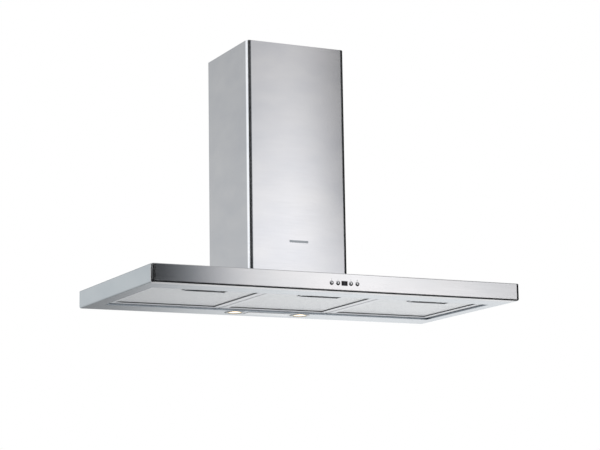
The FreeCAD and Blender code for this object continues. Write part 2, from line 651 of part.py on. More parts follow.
def display_window():
    """Dark window, flush with the fascia, with a step that seats in the housing."""
    half_width = WINDOW_WIDTH / 2 - WINDOW_PLAY
    half_height = WINDOW_HEIGHT / 2 - WINDOW_PLAY
    pane = box(-half_width, half_width, FRONT - WINDOW_PROUD, FRONT + SHEET,
               CONTROL_LEVEL - half_height, CONTROL_LEVEL + half_height)
    half_width = WINDOW_WIDTH / 2 + WINDOW_STEP - 2 * WINDOW_PLAY
    half_height = WINDOW_HEIGHT / 2 + WINDOW_STEP - 2 * WINDOW_PLAY
    step = box(-half_width, half_width, FRONT + SHEET, FRONT + SHEET + WINDOW_THICKNESS,
               CONTROL_LEVEL - half_height, CONTROL_LEVEL + half_height)
    return pane.fuse(step).removeSplitter()


def display_module():
    """Numeric display between the board and the window."""
    front, rear = FRONT + SHEET + WINDOW_THICKNESS, FRONT + BOARD_SETBACK
    return box(-DISPLAY_HALF_WIDTH, DISPLAY_HALF_WIDTH, front, rear,
               CONTROL_LEVEL - DISPLAY_HALF_HEIGHT, CONTROL_LEVEL + DISPLAY_HALF_HEIGHT)


# ---------------------------------------------------------------- lamps
def lamp_bezel(x):
    """Trim ring: a bevelled flange below the rim and a collar through it."""
    foot = V(x, LAMP_Y, -BEZEL_PROUD)
    flange = Part.makeCone(BEZEL_RADIUS - BEZEL_BEVEL, BEZEL_RADIUS, BEZEL_PROUD, foot, V(0, 0, 1))
    collar = rod(BEZEL_COLLAR_RADIUS, (x, LAMP_Y, 0), (0, 0, 1), BEZEL_COLLAR)
    height = BEZEL_PROUD + BEZEL_COLLAR + 2 * CUT
    mouth = rod(LENS_RADIUS - BEZEL_LEDGE, (x, LAMP_Y, -BEZEL_PROUD - CUT), (0, 0, 1), height)
    ring = flange.fuse(collar).cut(mouth)
    return ring.cut(rod(LENS_RADIUS, (x, LAMP_Y, SHEET), (0, 0, 1), height)).removeSplitter()


def lamp_lens(x):
    """Glass disc lying on the bezel's ledge."""
    return rod(LENS_RADIUS - LENS_PLAY, (x, LAMP_Y, SHEET), (0, 0, 1), LENS_THICKNESS)


def lamp_housing(x):
    """Spun can standing on the rim, with a ceramic socket block through its top."""
    wall = LAMP_CAN_WALL
    top = SHEET + LAMP_CAN_HEIGHT
    can = tube(LAMP_CAN_RADIUS, LAMP_CAN_RADIUS - wall, (x, LAMP_Y, SHEET), (0, 0, 1), LAMP_CAN_HEIGHT)
    lid = rod(LAMP_CAN_RADIUS, (x, LAMP_Y, top - wall), (0, 0, 1), wall)
    body = can.fuse(lid).fuse(block(x, LAMP_Y, top - SOCKET_SUNK, SOCKET))
    for pin in lamp_pins(x, top - SOCKET_SUNK - CUT):
        body = body.cut(pin)
    return body.removeSplitter()


def lamp_pins(x, start):
    """The two contact pins of a capsule, from a starting level up to their ends."""
    end = CAPSULE_LEVEL + CAPSULE_LENGTH - LAMP_PIN_SUNK + LAMP_PIN_LENGTH
    return [rod(LAMP_PIN_RADIUS, (x + offset, LAMP_Y, start), (0, 0, 1), end - start)
            for offset in (-LAMP_PIN_OFFSET, LAMP_PIN_OFFSET)]


def lamp_bulb(x):
    """Halogen capsule with two pins in the socket."""
    glass = rod(CAPSULE_RADIUS, (x, LAMP_Y, CAPSULE_LEVEL), (0, 0, 1), CAPSULE_LENGTH)
    glass = glass.makeFillet(CAPSULE_TIP, edges_where(glass, lambda p: near(p.z, CAPSULE_LEVEL)))
    return glass.multiFuse(lamp_pins(x, CAPSULE_LEVEL + CAPSULE_LENGTH - LAMP_PIN_SUNK)).removeSplitter()


def lamp_cover_plate():
    """Shallow plate on the rear rim between the two lamps."""
    half = LAMP_SPACING / 2 - BEZEL_RADIUS - COVER_END_ROOM
    plate = box(-half, half, LAMP_Y - COVER_DEPTH / 2, LAMP_Y + COVER_DEPTH / 2, -SHEET, 0)
    return plate.makeFillet(COVER_CORNER, [e for e in plate.Edges if upright(e)])


# ---------------------------------------------------------------- blower
def volute_face(inset):
    """Side outline of the scroll: three quarter arcs that grow, and the throat."""
    step = VOLUTE_STEP
    first, second, third = [VOLUTE_START + n * step - inset for n in range(3)]
    y, z = SCROLL_Y, SCROLL_Z
    right, left, low, high = y + step / 2, y - step / 2, z - step / 2, z + step / 2
    top = BOX_TOP - SHEET + (THROAT_CUT if inset else 0)
    tongue = V(0, right - inset, low + first)
    start = V(0, right, low + first)
    rear = V(0, right + first, low)
    bottom = V(0, left, low - second)
    front = V(0, left - third, high)
    diagonal = math.sqrt(0.5)
    edges = [
        Part.makeLine(V(0, right - inset, top), tongue),
        Part.Arc(start, V(0, right + first * diagonal, low + first * diagonal), rear).toShape(),
        Part.Arc(rear, V(0, left + second * diagonal, low - second * diagonal), bottom).toShape(),
        Part.Arc(bottom, V(0, left - third * diagonal, high - third * diagonal), front).toShape(),
        Part.makeLine(front, V(0, left - third, top)),
        Part.makeLine(V(0, left - third, top), V(0, right - inset, top)),
    ]
    if inset:
        edges.insert(1, Part.makeLine(tongue, start))
    return Part.Face(Part.Wire(edges))


def scroll_body():
    """Both halves of the scroll in one, open at the throat and at each side."""
    outer = volute_face(0).extrude(V(2 * SCROLL_HALF, 0, 0))
    outer.translate(V(-SCROLL_HALF, 0, 0))
    inner = volute_face(SCROLL_WALL).extrude(V(2 * (SCROLL_HALF - SCROLL_WALL), 0, 0))
    inner.translate(V(-SCROLL_HALF + SCROLL_WALL, 0, 0))
    top = BOX_TOP - SHEET
    third = VOLUTE_START + 2 * VOLUTE_STEP
    front = SCROLL_Y - VOLUTE_STEP / 2 - third
    rear = SCROLL_Y + VOLUTE_STEP / 2
    edge = SCROLL_FLANGE
    half = SCROLL_HALF + edge
    flange = box(-half, half, front - edge, rear + edge, top - SCROLL_FLANGE_THICKNESS, top)
    body = outer.fuse(flange).cut(inner)
    through = SCROLL_WALL + 2 * CUT
    mouth = IMPELLER_RADIUS - INLET_INSET
    inlet = rod(mouth, (-SCROLL_HALF - CUT, SCROLL_Y, SCROLL_Z), (1, 0, 0), through)
    hub = rod(MOTOR_HOLE_RADIUS, (SCROLL_HALF - SCROLL_WALL - CUT, SCROLL_Y, SCROLL_Z), (1, 0, 0), through)
    return body.cut(inlet).cut(hub)


def scroll_half(body, side):
    """One moulded half of the scroll; the left one carries the inlet bell."""
    reach = SCROLL_HALF + BELL_LENGTH + CUT
    x0, x1 = (-reach, 0) if side < 0 else (0, reach)
    half = body.common(box(x0, x1, -DEPTH, 0, 0, BOX_TOP))
    if side < 0:
        mouth = IMPELLER_RADIUS - INLET_INSET
        start = (-SCROLL_HALF - BELL_LENGTH, SCROLL_Y, SCROLL_Z)
        half = half.fuse(tube(mouth + BELL_WALL, mouth, start, (1, 0, 0), BELL_LENGTH))
    return half.removeSplitter()


def impeller():
    """Forward-curved wheel: back disc, hub, blades and a stiffening ring."""
    half = IMPELLER_WIDTH / 2
    axis = (1, 0, 0)
    disc = IMPELLER_DISC
    wheel = rod(IMPELLER_RADIUS, (half - disc, SCROLL_Y, SCROLL_Z), axis, disc)
    ring = tube(IMPELLER_RADIUS, IMPELLER_RADIUS - IMPELLER_RING, (-half, SCROLL_Y, SCROLL_Z), axis, disc)
    wheel = wheel.fuse(ring).fuse(rod(HUB_RADIUS, (0, SCROLL_Y, SCROLL_Z), axis, half))
    pitch = 360.0 / BLADE_COUNT
    tip = IMPELLER_RADIUS - BLADE_TIP_ROOM
    reach, thick = half - disc / 2, BLADE_THICKNESS / 2
    blade = box(-reach, reach, -thick, thick, tip - BLADE_DEPTH, tip)
    blade.rotate(V(0, 0, tip - BLADE_DEPTH / 2), V(1, 0, 0), BLADE_LEAN)
    blades = []
    for n in range(BLADE_COUNT):
        turned = blade.copy()
        turned.rotate(V(0, 0, 0), V(1, 0, 0), n * pitch)
        turned.translate(V(0, SCROLL_Y, SCROLL_Z))
        blades.append(turned)
    wheel = wheel.multiFuse(blades).removeSplitter()
    return wheel.cut(rod(SHAFT_RADIUS, (-CUT, SCROLL_Y, SCROLL_Z), axis, half + 2 * CUT))


def motor_shaft():
    """Steel shaft from the impeller's hub into the motor."""
    return rod(SHAFT_RADIUS, (0, SCROLL_Y, SCROLL_Z), (1, 0, 0), MOTOR_START + SHAFT_IN_MOTOR)


def motor_can():
    """Motor body with its bearing bore and a terminal block underneath."""
    can = rod(MOTOR_RADIUS, (MOTOR_START, SCROLL_Y, SCROLL_Z), (1, 0, 0), MOTOR_END - MOTOR_START)
    can = can.makeFillet(MOTOR_EDGE, edges_where(can, lambda p: near(p.x, MOTOR_END)))
    middle = (MOTOR_START + MOTOR_END) / 2
    terminal = block(middle, SCROLL_Y, SCROLL_Z - MOTOR_RADIUS - TERMINAL_DROP, TERMINAL)
    start = (MOTOR_START - CUT, SCROLL_Y, SCROLL_Z)
    bore = rod(SHAFT_RADIUS + RUNNING_GAP, start, (1, 0, 0), SHAFT_IN_MOTOR + 2 * CUT)
    return can.fuse(terminal).cut(bore).removeSplitter()


def motor_bracket():
    """Plate on the scroll's side that carries the motor."""
    plate = rod(MOTOR_RADIUS + MOTOR_PLATE_RIM, (SCROLL_HALF, SCROLL_Y, SCROLL_Z), (1, 0, 0), MOTOR_PLATE)
    start = (SCROLL_HALF - CUT, SCROLL_Y, SCROLL_Z)
    return plate.cut(rod(MOTOR_PLATE_HOLE, start, (1, 0, 0), MOTOR_PLATE + 2 * CUT))


def capacitor():
    """Motor capacitor on the box's back wall, with its strap."""
    x = -BOX_HALF + CAPACITOR_SIDE_ROOM
    wall = -(PLATE_THICKNESS + SHEET)
    outer = CAPACITOR_RADIUS + STRAP_WALL
    y = wall - outer - STRAP_SUNK
    low = BOX_TOP - STRAP_DROP
    body = rod(CAPACITOR_RADIUS, (x, y, BOX_TOP - CAPACITOR_DROP), (0, 0, 1), CAPACITOR_LENGTH)
    strap = tube(outer, CAPACITOR_RADIUS, (x, y, low), (0, 0, 1), STRAP_HEIGHT)
    foot = box(x - STRAP_HALF, x + STRAP_HALF, wall - STRAP_WALL, wall, low, low + STRAP_HEIGHT)
    return [body, strap.fuse(foot).removeSplitter()]


def blower_box():
    """Galvanised box over the air inlet: open below, with the duct hole in its top."""
    rear = -PLATE_THICKNESS
    shell = box(-BOX_HALF, BOX_HALF, BOX_FRONT, rear, CANOPY_TOP, BOX_TOP)
    shell = shell.cut(box(-BOX_HALF + SHEET, BOX_HALF - SHEET, BOX_FRONT + SHEET, rear - SHEET,
                          CANOPY_TOP - CUT, BOX_TOP - SHEET))
    side = BOX_HALF + BOX_FLANGE
    foot = box(-side, side, BOX_FRONT, rear, CANOPY_TOP, CANOPY_TOP + SHEET)
    foot = foot.cut(box(-BOX_HALF, BOX_HALF, BOX_FRONT, rear, CANOPY_TOP - CUT, CANOPY_TOP + SHEET + CUT))
    shell = shell.fuse(foot).removeSplitter()
    through = SHEET + 2 * CUT
    shell = shell.cut(rod(COLLAR_BORE, (0, DUCT_Y, BOX_TOP - SHEET - CUT), (0, 0, 1), through))
    for x, y in blower_screw_places():
        shell = shell.cut(rod(FOOT_SCREW_HOLE, (x, y, CANOPY_TOP - CUT), (0, 0, 1), through))
    for x, y in collar_screw_places():
        shell = shell.cut(rod(COLLAR_SCREW_HOLE, (x, y, BOX_TOP - SHEET - CUT), (0, 0, 1), through))
    return shell


def wall_plate():
    """Back plate of the hood with the four fixing holes."""
    plate = box(-PLATE_HALF, PLATE_HALF, -PLATE_THICKNESS, 0, PLATE_BOTTOM, PLATE_BOTTOM + PLATE_HEIGHT)
    corners = [e for e in plate.Edges
               if near(e.Vertexes[0].X, e.Vertexes[-1].X) and near(e.Vertexes[0].Z, e.Vertexes[-1].Z)]
    plate = plate.makeFillet(PLATE_CORNER, corners)
    for side in (-1, 1):
        for z in (PLATE_BOTTOM + FIX_EDGE_Z, PLATE_BOTTOM + PLATE_HEIGHT - FIX_EDGE_Z):
            x = side * (PLATE_HALF - FIX_EDGE_X)
            start = (x, -PLATE_THICKNESS - CUT, z)
            plate = plate.cut(rod(FIX_HOLE_RADIUS, start, (0, 1, 0), PLATE_THICKNESS + 2 * CUT))
    return plate


def collar_screw_places():
    """Four screws round the duct collar's flange."""
    reach = (COLLAR_RADIUS + COLLAR_SCREW_RING) * math.sqrt(0.5)
    return [(x * reach, DUCT_Y + y * reach) for x in (-1, 1) for y in (-1, 1)]


def pan_screw(x, y, seat, radius, length):
    """Pan-head screw pointing down, with its head on the seat."""
    height = radius * SCREW_HEAD[1]
    head = rod(radius * SCREW_HEAD[0], (x, y, seat), (0, 0, 1), height)
    edges = edges_where(head, lambda p: near(p.z, seat + height))
    head = head.makeFillet(radius * SCREW_HEAD_ROUND, edges)
    socket = rod(radius * SCREW_SOCKET, (x, y, seat + height / 2), (0, 0, 1), height)
    return head.cut(socket).fuse(rod(radius, (x, y, seat - length), (0, 0, 1), length)).removeSplitter()


def blower_screws():
    """Screws of the blower box's feet and of the collar's flange."""
    feet = [pan_screw(x, y, CANOPY_TOP + SHEET, *FOOT_SCREW) for x, y in blower_screw_places()]
    seat = BOX_TOP + COLLAR_FLANGE_THICKNESS
    return feet + [pan_screw(x, y, seat, *COLLAR_SCREW) for x, y in collar_screw_places()]


# ---------------------------------------------------------------- duct collar
def duct_collar():
    """Flanged collar that the duct slips over, with the flaps' seat and pin holes."""
    base = (0, DUCT_Y, BOX_TOP)
    collar = tube(COLLAR_RADIUS, COLLAR_BORE, base, (0, 0, 1), COLLAR_HEIGHT)
    flange = tube(COLLAR_RADIUS + COLLAR_FLANGE, COLLAR_BORE, base, (0, 0, 1), COLLAR_FLANGE_THICKNESS)
    collar = collar.fuse(flange)
    seat = (0, DUCT_Y, FLAP_Z - FLAP_THICKNESS / 2 - SEAT_GAP - SEAT_THICKNESS)
    ledge = tube(COLLAR_BORE + COLLAR_WALL / 2, COLLAR_BORE - SEAT_WIDTH, seat, (0, 0, 1), SEAT_THICKNESS)
    collar = collar.fuse(ledge)
    reach = COLLAR_RADIUS + CUT
    collar = collar.cut(rod(FLAP_PIN_RADIUS, (-reach, DUCT_Y, FLAP_Z), (1, 0, 0), 2 * reach))
    for x, y in collar_screw_places():
        hole = rod(COLLAR_SCREW_HOLE, (x, y, BOX_TOP - CUT), (0, 0, 1), COLLAR_FLANGE_THICKNESS + 2 * CUT)
        collar = collar.cut(hole)
    return collar.removeSplitter()


def flap_pin():
    """Steel pin across the collar."""
    return rod(FLAP_PIN_RADIUS, (-COLLAR_RADIUS, DUCT_Y, FLAP_Z), (1, 0, 0), 2 * COLLAR_RADIUS)


def flap(side):
    """Half-round non-return flap: side -1 is the front one, 1 the rear one."""
    radius = COLLAR_BORE - FLAP_EDGE_GAP
    disc = rod(radius, (0, DUCT_Y, FLAP_Z - FLAP_THICKNESS / 2), (0, 0, 1), FLAP_THICKNESS)
    clear = FLAP_KNUCKLE_RADIUS + FLAP_KNUCKLE_ROOM
    low, high = FLAP_Z - FLAP_THICKNESS / 2, FLAP_Z + FLAP_THICKNESS / 2
    y0, y1 = sorted((DUCT_Y + side * clear, DUCT_Y + side * (radius + CUT)))
    half = radius - 2 * FLAP_EDGE_GAP
    plate = disc.common(box(-half, half, y0, y1, low - CUT, high + CUT))
    a, b = sorted((DUCT_Y, DUCT_Y + side * (clear + CUT)))
    for n in range(-2, 2):
        if (n % 2 == 0) == (side < 0):
            x0 = n * FLAP_KNUCKLE_PITCH + (FLAP_KNUCKLE_PITCH - FLAP_KNUCKLE_LENGTH) / 2
            x1 = x0 + FLAP_KNUCKLE_LENGTH
            knuckle = rod(FLAP_KNUCKLE_RADIUS, (x0, DUCT_Y, FLAP_Z), (1, 0, 0), FLAP_KNUCKLE_LENGTH)
            plate = plate.fuse(knuckle).fuse(box(x0, x1, a, b, low, high))
    start = (-COLLAR_RADIUS, DUCT_Y, FLAP_Z)
    bore = rod(FLAP_PIN_RADIUS + RUNNING_GAP, start, (1, 0, 0), 2 * COLLAR_RADIUS)
    return plate.cut(bore).removeSplitter()


# ---------------------------------------------------------------- chimney
def chimney_section(shrink, bottom, height):
    """U-shaped cover with rounded front bends and a narrow hem along the wall."""
    half = CHIMNEY_WIDTH / 2 - shrink
    front = -CHIMNEY_DEPTH + shrink
    rear = -UPPER_FROM_WALL if shrink else 0.0
    bend = CHIMNEY_BEND - shrink
    outer = box(-half, half, front, rear, bottom, bottom + height)
    outer = outer.makeFillet(bend, [e for e in outer.Edges if upright(e) and near(e.Vertexes[0].Y, front)])
    low, high = bottom - CUT, bottom + height + CUT
    inner = box(-half + SHEET, half - SHEET, front + SHEET, rear - SHEET, low, high)
    inner = inner.makeFillet(bend - SHEET, [e for e in inner.Edges
                                            if upright(e) and near(e.Vertexes[0].Y, front + SHEET)])
    mouth = box(-half + CHIMNEY_HEM, half - CHIMNEY_HEM, rear - SHEET - CUT, rear + CUT, low, high)
    return outer.cut(inner).cut(mouth)


def chimney_lower():
    """Outer section, standing on the canopy, with two feet folded inwards."""
    section = chimney_section(0.0, CANOPY_TOP, CHIMNEY_HEIGHT)
    half = CHIMNEY_WIDTH / 2 - SHEET
    for side in (-1, 1):
        x0, x1 = sorted((side * (half + SHEET / 2), side * (half - CHIMNEY_FOOT)))
        y0, y1 = -CHIMNEY_DEPTH + CHIMNEY_FOOT_ROOM, -CHIMNEY_FOOT_ROOM
        section = section.fuse(box(x0, x1, y0, y1, CANOPY_TOP, CANOPY_TOP + SHEET))
    return section.removeSplitter()


def chimney_upper():
    """Inner section, pushed right down inside the outer one."""
    return chimney_section(SHEET + CHIMNEY_GAP, CANOPY_TOP + UPPER_RISE, UPPER_HEIGHT)


def chimney_pads():
    """Nylon pads on the outer section: four guides near its top and two rests below."""
    wall = CHIMNEY_WIDTH / 2 - SHEET
    solids = []
    for side in (-1, 1):
        low = CANOPY_TOP + CHIMNEY_HEIGHT - PAD_DROP
        x0, x1 = sorted((side * (wall - CHIMNEY_GAP + PAD_PLAY), side * wall))
        for y in (-CHIMNEY_DEPTH + PAD_ROOM, -PAD_ROOM):
            solids.append(box(x0, x1, y - PAD_HALF, y + PAD_HALF, low, low + PAD_HEIGHT))
        x0, x1 = sorted((side * (wall - REST_DEPTH), side * wall))
        y0 = -CHIMNEY_DEPTH / 2 - REST_LENGTH / 2
        rest = CANOPY_TOP + UPPER_RISE
        solids.append(box(x0, x1, y0, y0 + REST_LENGTH, rest - REST_HEIGHT, rest))
    return solids


def upper_bracket():
    """Strap that holds the upper section to the wall near the ceiling."""
    half = UPPER_HALF - SHEET
    wall = BRACKET_THICKNESS
    top = CANOPY_TOP + UPPER_RISE + UPPER_HEIGHT - BRACKET_DROP
    low = top - BRACKET_HEIGHT
    back = -UPPER_FROM_WALL - SHEET - BRACKET_PLAY
    front = back - BRACKET_REACH
    strap = box(-half, half, front, back, low, top)
    strap = strap.cut(box(-half + wall, half - wall, front - CUT, back - wall, low - CUT, top + CUT))
    for x in (-BRACKET_HOLE_SPACING / 2, BRACKET_HOLE_SPACING / 2):
        hole = rod(BRACKET_HOLE_RADIUS, (x, back - wall - CUT, (low + top) / 2), (0, 1, 0), wall + 2 * CUT)
        strap = strap.cut(hole)
    return strap


# ---------------------------------------------------------------- electrics
def power_box_place():
    """Left front corner region of the canopy, behind the fascia."""
    return POWER_BOX_X, OPENING_FRONT - POWER_BOX_ROOM - POWER_BOX[1] / 2


def power_box():
    """Moulded tub fixed under the canopy's top, open below."""
    x, y = power_box_place()
    length, width, height = POWER_BOX
    tub = block(x, y, CEILING - height, POWER_BOX)
    wall = 2 * POWER_BOX_WALL
    hollow = (length - wall, width - wall, height - 2 * POWER_BOX_ROOF + CUT)
    return tub.cut(block(x, y, CEILING - height - CUT, hollow))


def power_box_lid():
    """Flat lid of the power box."""
    x, y = power_box_place()
    length, width, height = POWER_BOX
    return block(x, y, CEILING - height - POWER_BOX_LID, (length, width, POWER_BOX_LID))


def power_board():
    """Board with its relays and terminal strip."""
    x, y = power_box_place()
    length, width, height = POWER_BOX
    level = CEILING - height + BOARD_RISE
    top = level + BOARD_THICKNESS
    wall = 2 * POWER_BOX_WALL
    solids = [block(x, y, level, (length - wall, width - wall, BOARD_THICKNESS))]
    for n in range(RELAY_COUNT):
        solids.append(block(x + RELAY_START + n * RELAY_PITCH, y, top, RELAY))
    solids.append(block(x + TERMINAL_STRIP_X, y, top, TERMINAL_STRIP))
    return solids


def transformer_place():
    """On the rear rim, left of the lamps."""
    return -LAMP_SPACING / 2 - TRANSFORMER_FROM_LAMP, LAMP_Y + TRANSFORMER_BEHIND_LAMP


def lamp_transformer():
    """Encapsulated lamp transformer with two fixing ears."""
    x, y = transformer_place()
    length = TRANSFORMER[0]
    body = block(x, y, SHEET, TRANSFORMER)
    body = body.makeFillet(TRANSFORMER_CORNER, [e for e in body.Edges if upright(e)])
    ears = block(x, y, SHEET, (length + 2 * EAR_LENGTH, EAR_WIDTH, EAR_THICKNESS))
    reach = (length + EAR_LENGTH) / 2
    for ear_x in (x - reach, x + reach):
        ears = ears.cut(rod(EAR_HOLE, (ear_x, y, SHEET - CUT), (0, 0, 1), EAR_THICKNESS + 2 * CUT))
    return body.fuse(ears).removeSplitter()


def mains_gland():
    """Cable gland through the canopy's top: hexagon, dome, thread and clamp bore."""
    x, y = gland_place()
    corner = GLAND_FLATS / math.sqrt(3)
    turns = [math.radians(60 * n + 30) for n in range(7)]
    points = [V(x + corner * math.cos(a), y + corner * math.sin(a), CANOPY_TOP) for a in turns]
    body = Part.Face(Part.makePolygon(points)).extrude(V(0, 0, GLAND_HEXAGON))
    foot = V(x, y, CANOPY_TOP + GLAND_HEXAGON)
    body = body.fuse(Part.makeCone(GLAND_DOME_FOOT, GLAND_DOME_TOP, GLAND_DOME, foot, V(0, 0, 1)))
    low = CEILING - GLAND_TAIL
    body = body.fuse(rod(GLAND_THREAD_RADIUS - THREAD_PLAY, (x, y, low), (0, 0, 1), CANOPY_TOP - low))
    length = CANOPY_TOP + GLAND_HEXAGON + GLAND_DOME - low + 2 * CUT
    return body.cut(rod(GLAND_BORE_RADIUS, (x, y, low - CUT), (0, 0, 1), length)).removeSplitter()


def gland_nut():
    """Round nut that locks the gland from inside."""
    x, y = gland_place()
    bore = GLAND_THREAD_RADIUS - THREAD_PLAY
    return tube(NUT_RADIUS, bore, (x, y, CEILING - NUT_HEIGHT), (0, 0, 1), NUT_HEIGHT)


def wiring_loom():
    """Leads inside the hood: controls, transformer, both lamps and motor."""
    box_x, box_y = power_box_place()
    box_rear = box_y + POWER_BOX[1] / 2
    box_right = box_x + POWER_BOX[0] / 2
    coil_x, coil_y = transformer_place()
    coil_right = coil_x + TRANSFORMER[0] / 2
    coil_front = coil_y - TRANSFORMER[1] / 2
    lamp = LAMP_SPACING / 2
    socket = lamp + SOCKET[0] / 2
    near_side = lamp - SOCKET[0] / 2
    board = FRONT + BOARD_SETBACK + BOARD_THICKNESS
    motor_x = (MOTOR_START + MOTOR_END) / 2
    motor_front = SCROLL_Y - TERMINAL[1] / 2
    motor_z = SCROLL_Z - MOTOR_RADIUS - TERMINAL_DROP / 2
    low, middle, high = LEAD_LEVELS
    over = CEILING - LEAD_UNDER_TOP
    motor_lead_x = box_x + MOTOR_LEAD_OFFSET
    return [
        lead([(CONTROL_LEAD_X, board, low), (CONTROL_LEAD_X, board + 28, low),
              (2 * CONTROL_LEAD_X, box_y, middle), (box_right, box_y, middle)]),
        lead([(coil_x, box_rear, high), (coil_x, box_rear + 40, high), (coil_x, box_rear + 100, over),
              (coil_x, coil_front - 70, over), (coil_x, coil_front - 25, middle),
              (coil_x, coil_front, middle)]),
        lead([(coil_right, LAMP_Y, middle + 1), (-socket, LAMP_Y, middle + 1)]),
        lead([(coil_right, LAMP_Y + 22, middle), (lamp - 70, LAMP_Y + 22, middle),
              (lamp - 35, LAMP_Y, middle + 1), (near_side, LAMP_Y, middle + 1)]),
        lead([(motor_lead_x, box_rear, high), (motor_lead_x, box_rear + 50, high),
              (motor_lead_x, box_rear + 120, over), (2 * CONTROL_LEAD_X, BOX_FRONT + 40, over),
              (motor_x, BOX_FRONT + 60, over + 6), (motor_x, motor_front - 58, motor_z),
              (motor_x, motor_front, motor_z)]),
    ]


# ---------------------------------------------------------------- every piece
def build_canopy():
    skin = canopy_sheet()
    export("front_fascia", front_fascia(skin))
    export("canopy_shell", canopy_shell(skin))
    export("underside_frame", underside_frame())


def build_filters():
    for name, middle in zip(("left", "middle", "right"), filter_places()):
        export("filter_frame_" + name, filter_frame(middle))
        export("filter_mesh_" + name, *filter_mesh(middle))
        export("latch_cup_" + name, latch_cup(middle))
        export("latch_slider_" + name, latch_slider(middle))
        export("latch_springs_" + name, *latch_springs(middle))


def build_controls():
    for name, x in zip(("light", "less", "more", "timer"), button_places()):
        export("button_" + name, button_cap(x))
    export("control_housing", control_housing())
    export("control_board", *control_board())
    export("display_window", display_window())
    export("display_module", display_module())


def build_lamps():
    for name, x in (("left", -LAMP_SPACING / 2), ("right", LAMP_SPACING / 2)):
        export("lamp_bezel_" + name, lamp_bezel(x))
        export("lamp_lens_" + name, lamp_lens(x))
        export("lamp_housing_" + name, lamp_housing(x))
        export("lamp_bulb_" + name, lamp_bulb(x))
    export("lamp_cover_plate", lamp_cover_plate())


def build_blower():
    body = scroll_body()
    export("scroll_left", scroll_half(body, -1))
    export("scroll_right", scroll_half(body, 1))
    export("impeller", impeller())
    export("motor_shaft", motor_shaft())
    export("motor_can", motor_can())
    export("motor_bracket", motor_bracket())
    export("capacitor", *capacitor())
    export("blower_box", blower_box())
    export("wall_plate", wall_plate())
    export("blower_screws", *blower_screws())


def build_duct():
    export("duct_collar", duct_collar())
    export("flap_pin", flap_pin())
    export("flap_front", flap(-1))
    export("flap_rear", flap(1))


def build_chimney():
    export("chimney_lower", chimney_lower())
    export("chimney_upper", chimney_upper())
    export("chimney_pads", *chimney_pads())
    export("upper_bracket", upper_bracket())


def build_electrics():
    export("power_box", power_box())
    export("power_box_lid", power_box_lid())
    export("power_board", *power_board())
    export("lamp_transformer", lamp_transformer())
    export("mains_gland", mains_gland())
    export("gland_nut", gland_nut())
    export("wiring_loom", *wiring_loom())


os.makedirs("parts", exist_ok=True)
build_canopy()
build_filters()
build_controls()
build_lamps()
build_blower()
build_duct()
build_chimney()
build_electrics()
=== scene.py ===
"""Looks of a wall-side kitchen range hood in brushed stainless steel.

Everything is in metres in the hood's own frame: +X to the right seen from the room, +Y into the wall, +Z up.
"""
import math

import bmesh
import bpy
import numpy as np
from mathutils import Matrix, Vector


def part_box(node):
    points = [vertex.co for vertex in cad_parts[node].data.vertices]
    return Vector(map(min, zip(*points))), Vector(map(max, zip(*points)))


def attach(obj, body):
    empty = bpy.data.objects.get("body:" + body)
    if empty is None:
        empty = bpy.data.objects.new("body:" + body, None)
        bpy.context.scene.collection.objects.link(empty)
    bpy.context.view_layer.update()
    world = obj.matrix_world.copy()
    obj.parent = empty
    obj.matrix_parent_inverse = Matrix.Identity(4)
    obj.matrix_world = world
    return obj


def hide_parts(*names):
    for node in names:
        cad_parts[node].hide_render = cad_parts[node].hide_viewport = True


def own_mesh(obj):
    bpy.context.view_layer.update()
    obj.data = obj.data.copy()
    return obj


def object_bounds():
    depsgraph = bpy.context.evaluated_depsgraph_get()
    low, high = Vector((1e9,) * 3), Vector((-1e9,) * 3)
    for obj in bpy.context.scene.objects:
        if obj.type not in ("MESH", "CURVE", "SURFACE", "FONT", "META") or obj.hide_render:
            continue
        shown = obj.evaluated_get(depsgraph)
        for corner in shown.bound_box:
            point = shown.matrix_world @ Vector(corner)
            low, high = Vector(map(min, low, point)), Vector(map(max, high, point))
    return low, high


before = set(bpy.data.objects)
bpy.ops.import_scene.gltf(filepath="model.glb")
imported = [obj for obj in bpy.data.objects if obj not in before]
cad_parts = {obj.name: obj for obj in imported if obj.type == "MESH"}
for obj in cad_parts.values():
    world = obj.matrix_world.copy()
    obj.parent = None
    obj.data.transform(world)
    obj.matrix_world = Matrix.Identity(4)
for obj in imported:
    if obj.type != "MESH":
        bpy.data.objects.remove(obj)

MM = 0.001
CAD_BOX = [list(corner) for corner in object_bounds()]
SIDES = ("left", "middle", "right")
BUTTONS = ("light", "less", "more", "timer")
LAMPS = ("left", "right")


# ---------------------------------------------------------------- colour and node helpers
def linear(code):
    """sRGB hex colour as linear RGBA."""
    parts = [int(code[n:n + 2], 16) / 255 for n in (1, 3, 5)]
    return [c / 12.92 if c <= 0.04045 else ((c + 0.055) / 1.055) ** 2.4 for c in parts] + [1.0]


def add(tree, kind, inputs=None, to=None, **settings):
    """Adds one shader node with its settings; an input given a socket is linked, any other is set.

    The node's result is linked on to the socket called to, where one is given.
    """
    made = tree.nodes.new("ShaderNode" + kind)
    for name, value in settings.items():
        setattr(made, name, value)
    for name, value in (inputs or {}).items():
        if isinstance(value, bpy.types.NodeSocket):
            tree.links.new(value, made.inputs[name])
        else:
            made.inputs[name].default_value = value
    if to is not None:
        tree.links.new(next(result for result in made.outputs if result.enabled), to)
    return made


def surface(name, code, metallic=0.0, roughness=0.5, sockets=None):
    """New material with one Principled shader; returns the material, its tree and the shader."""
    material = bpy.data.materials.new(name)
    material.use_nodes = True
    tree = material.node_tree
    shader = tree.nodes["Principled BSDF"]
    values = {"Base Color": linear(code), "Metallic": metallic, "Roughness": roughness, **(sockets or {})}
    for socket, value in values.items():
        shader.inputs[socket].default_value = value
    return material, tree, shader


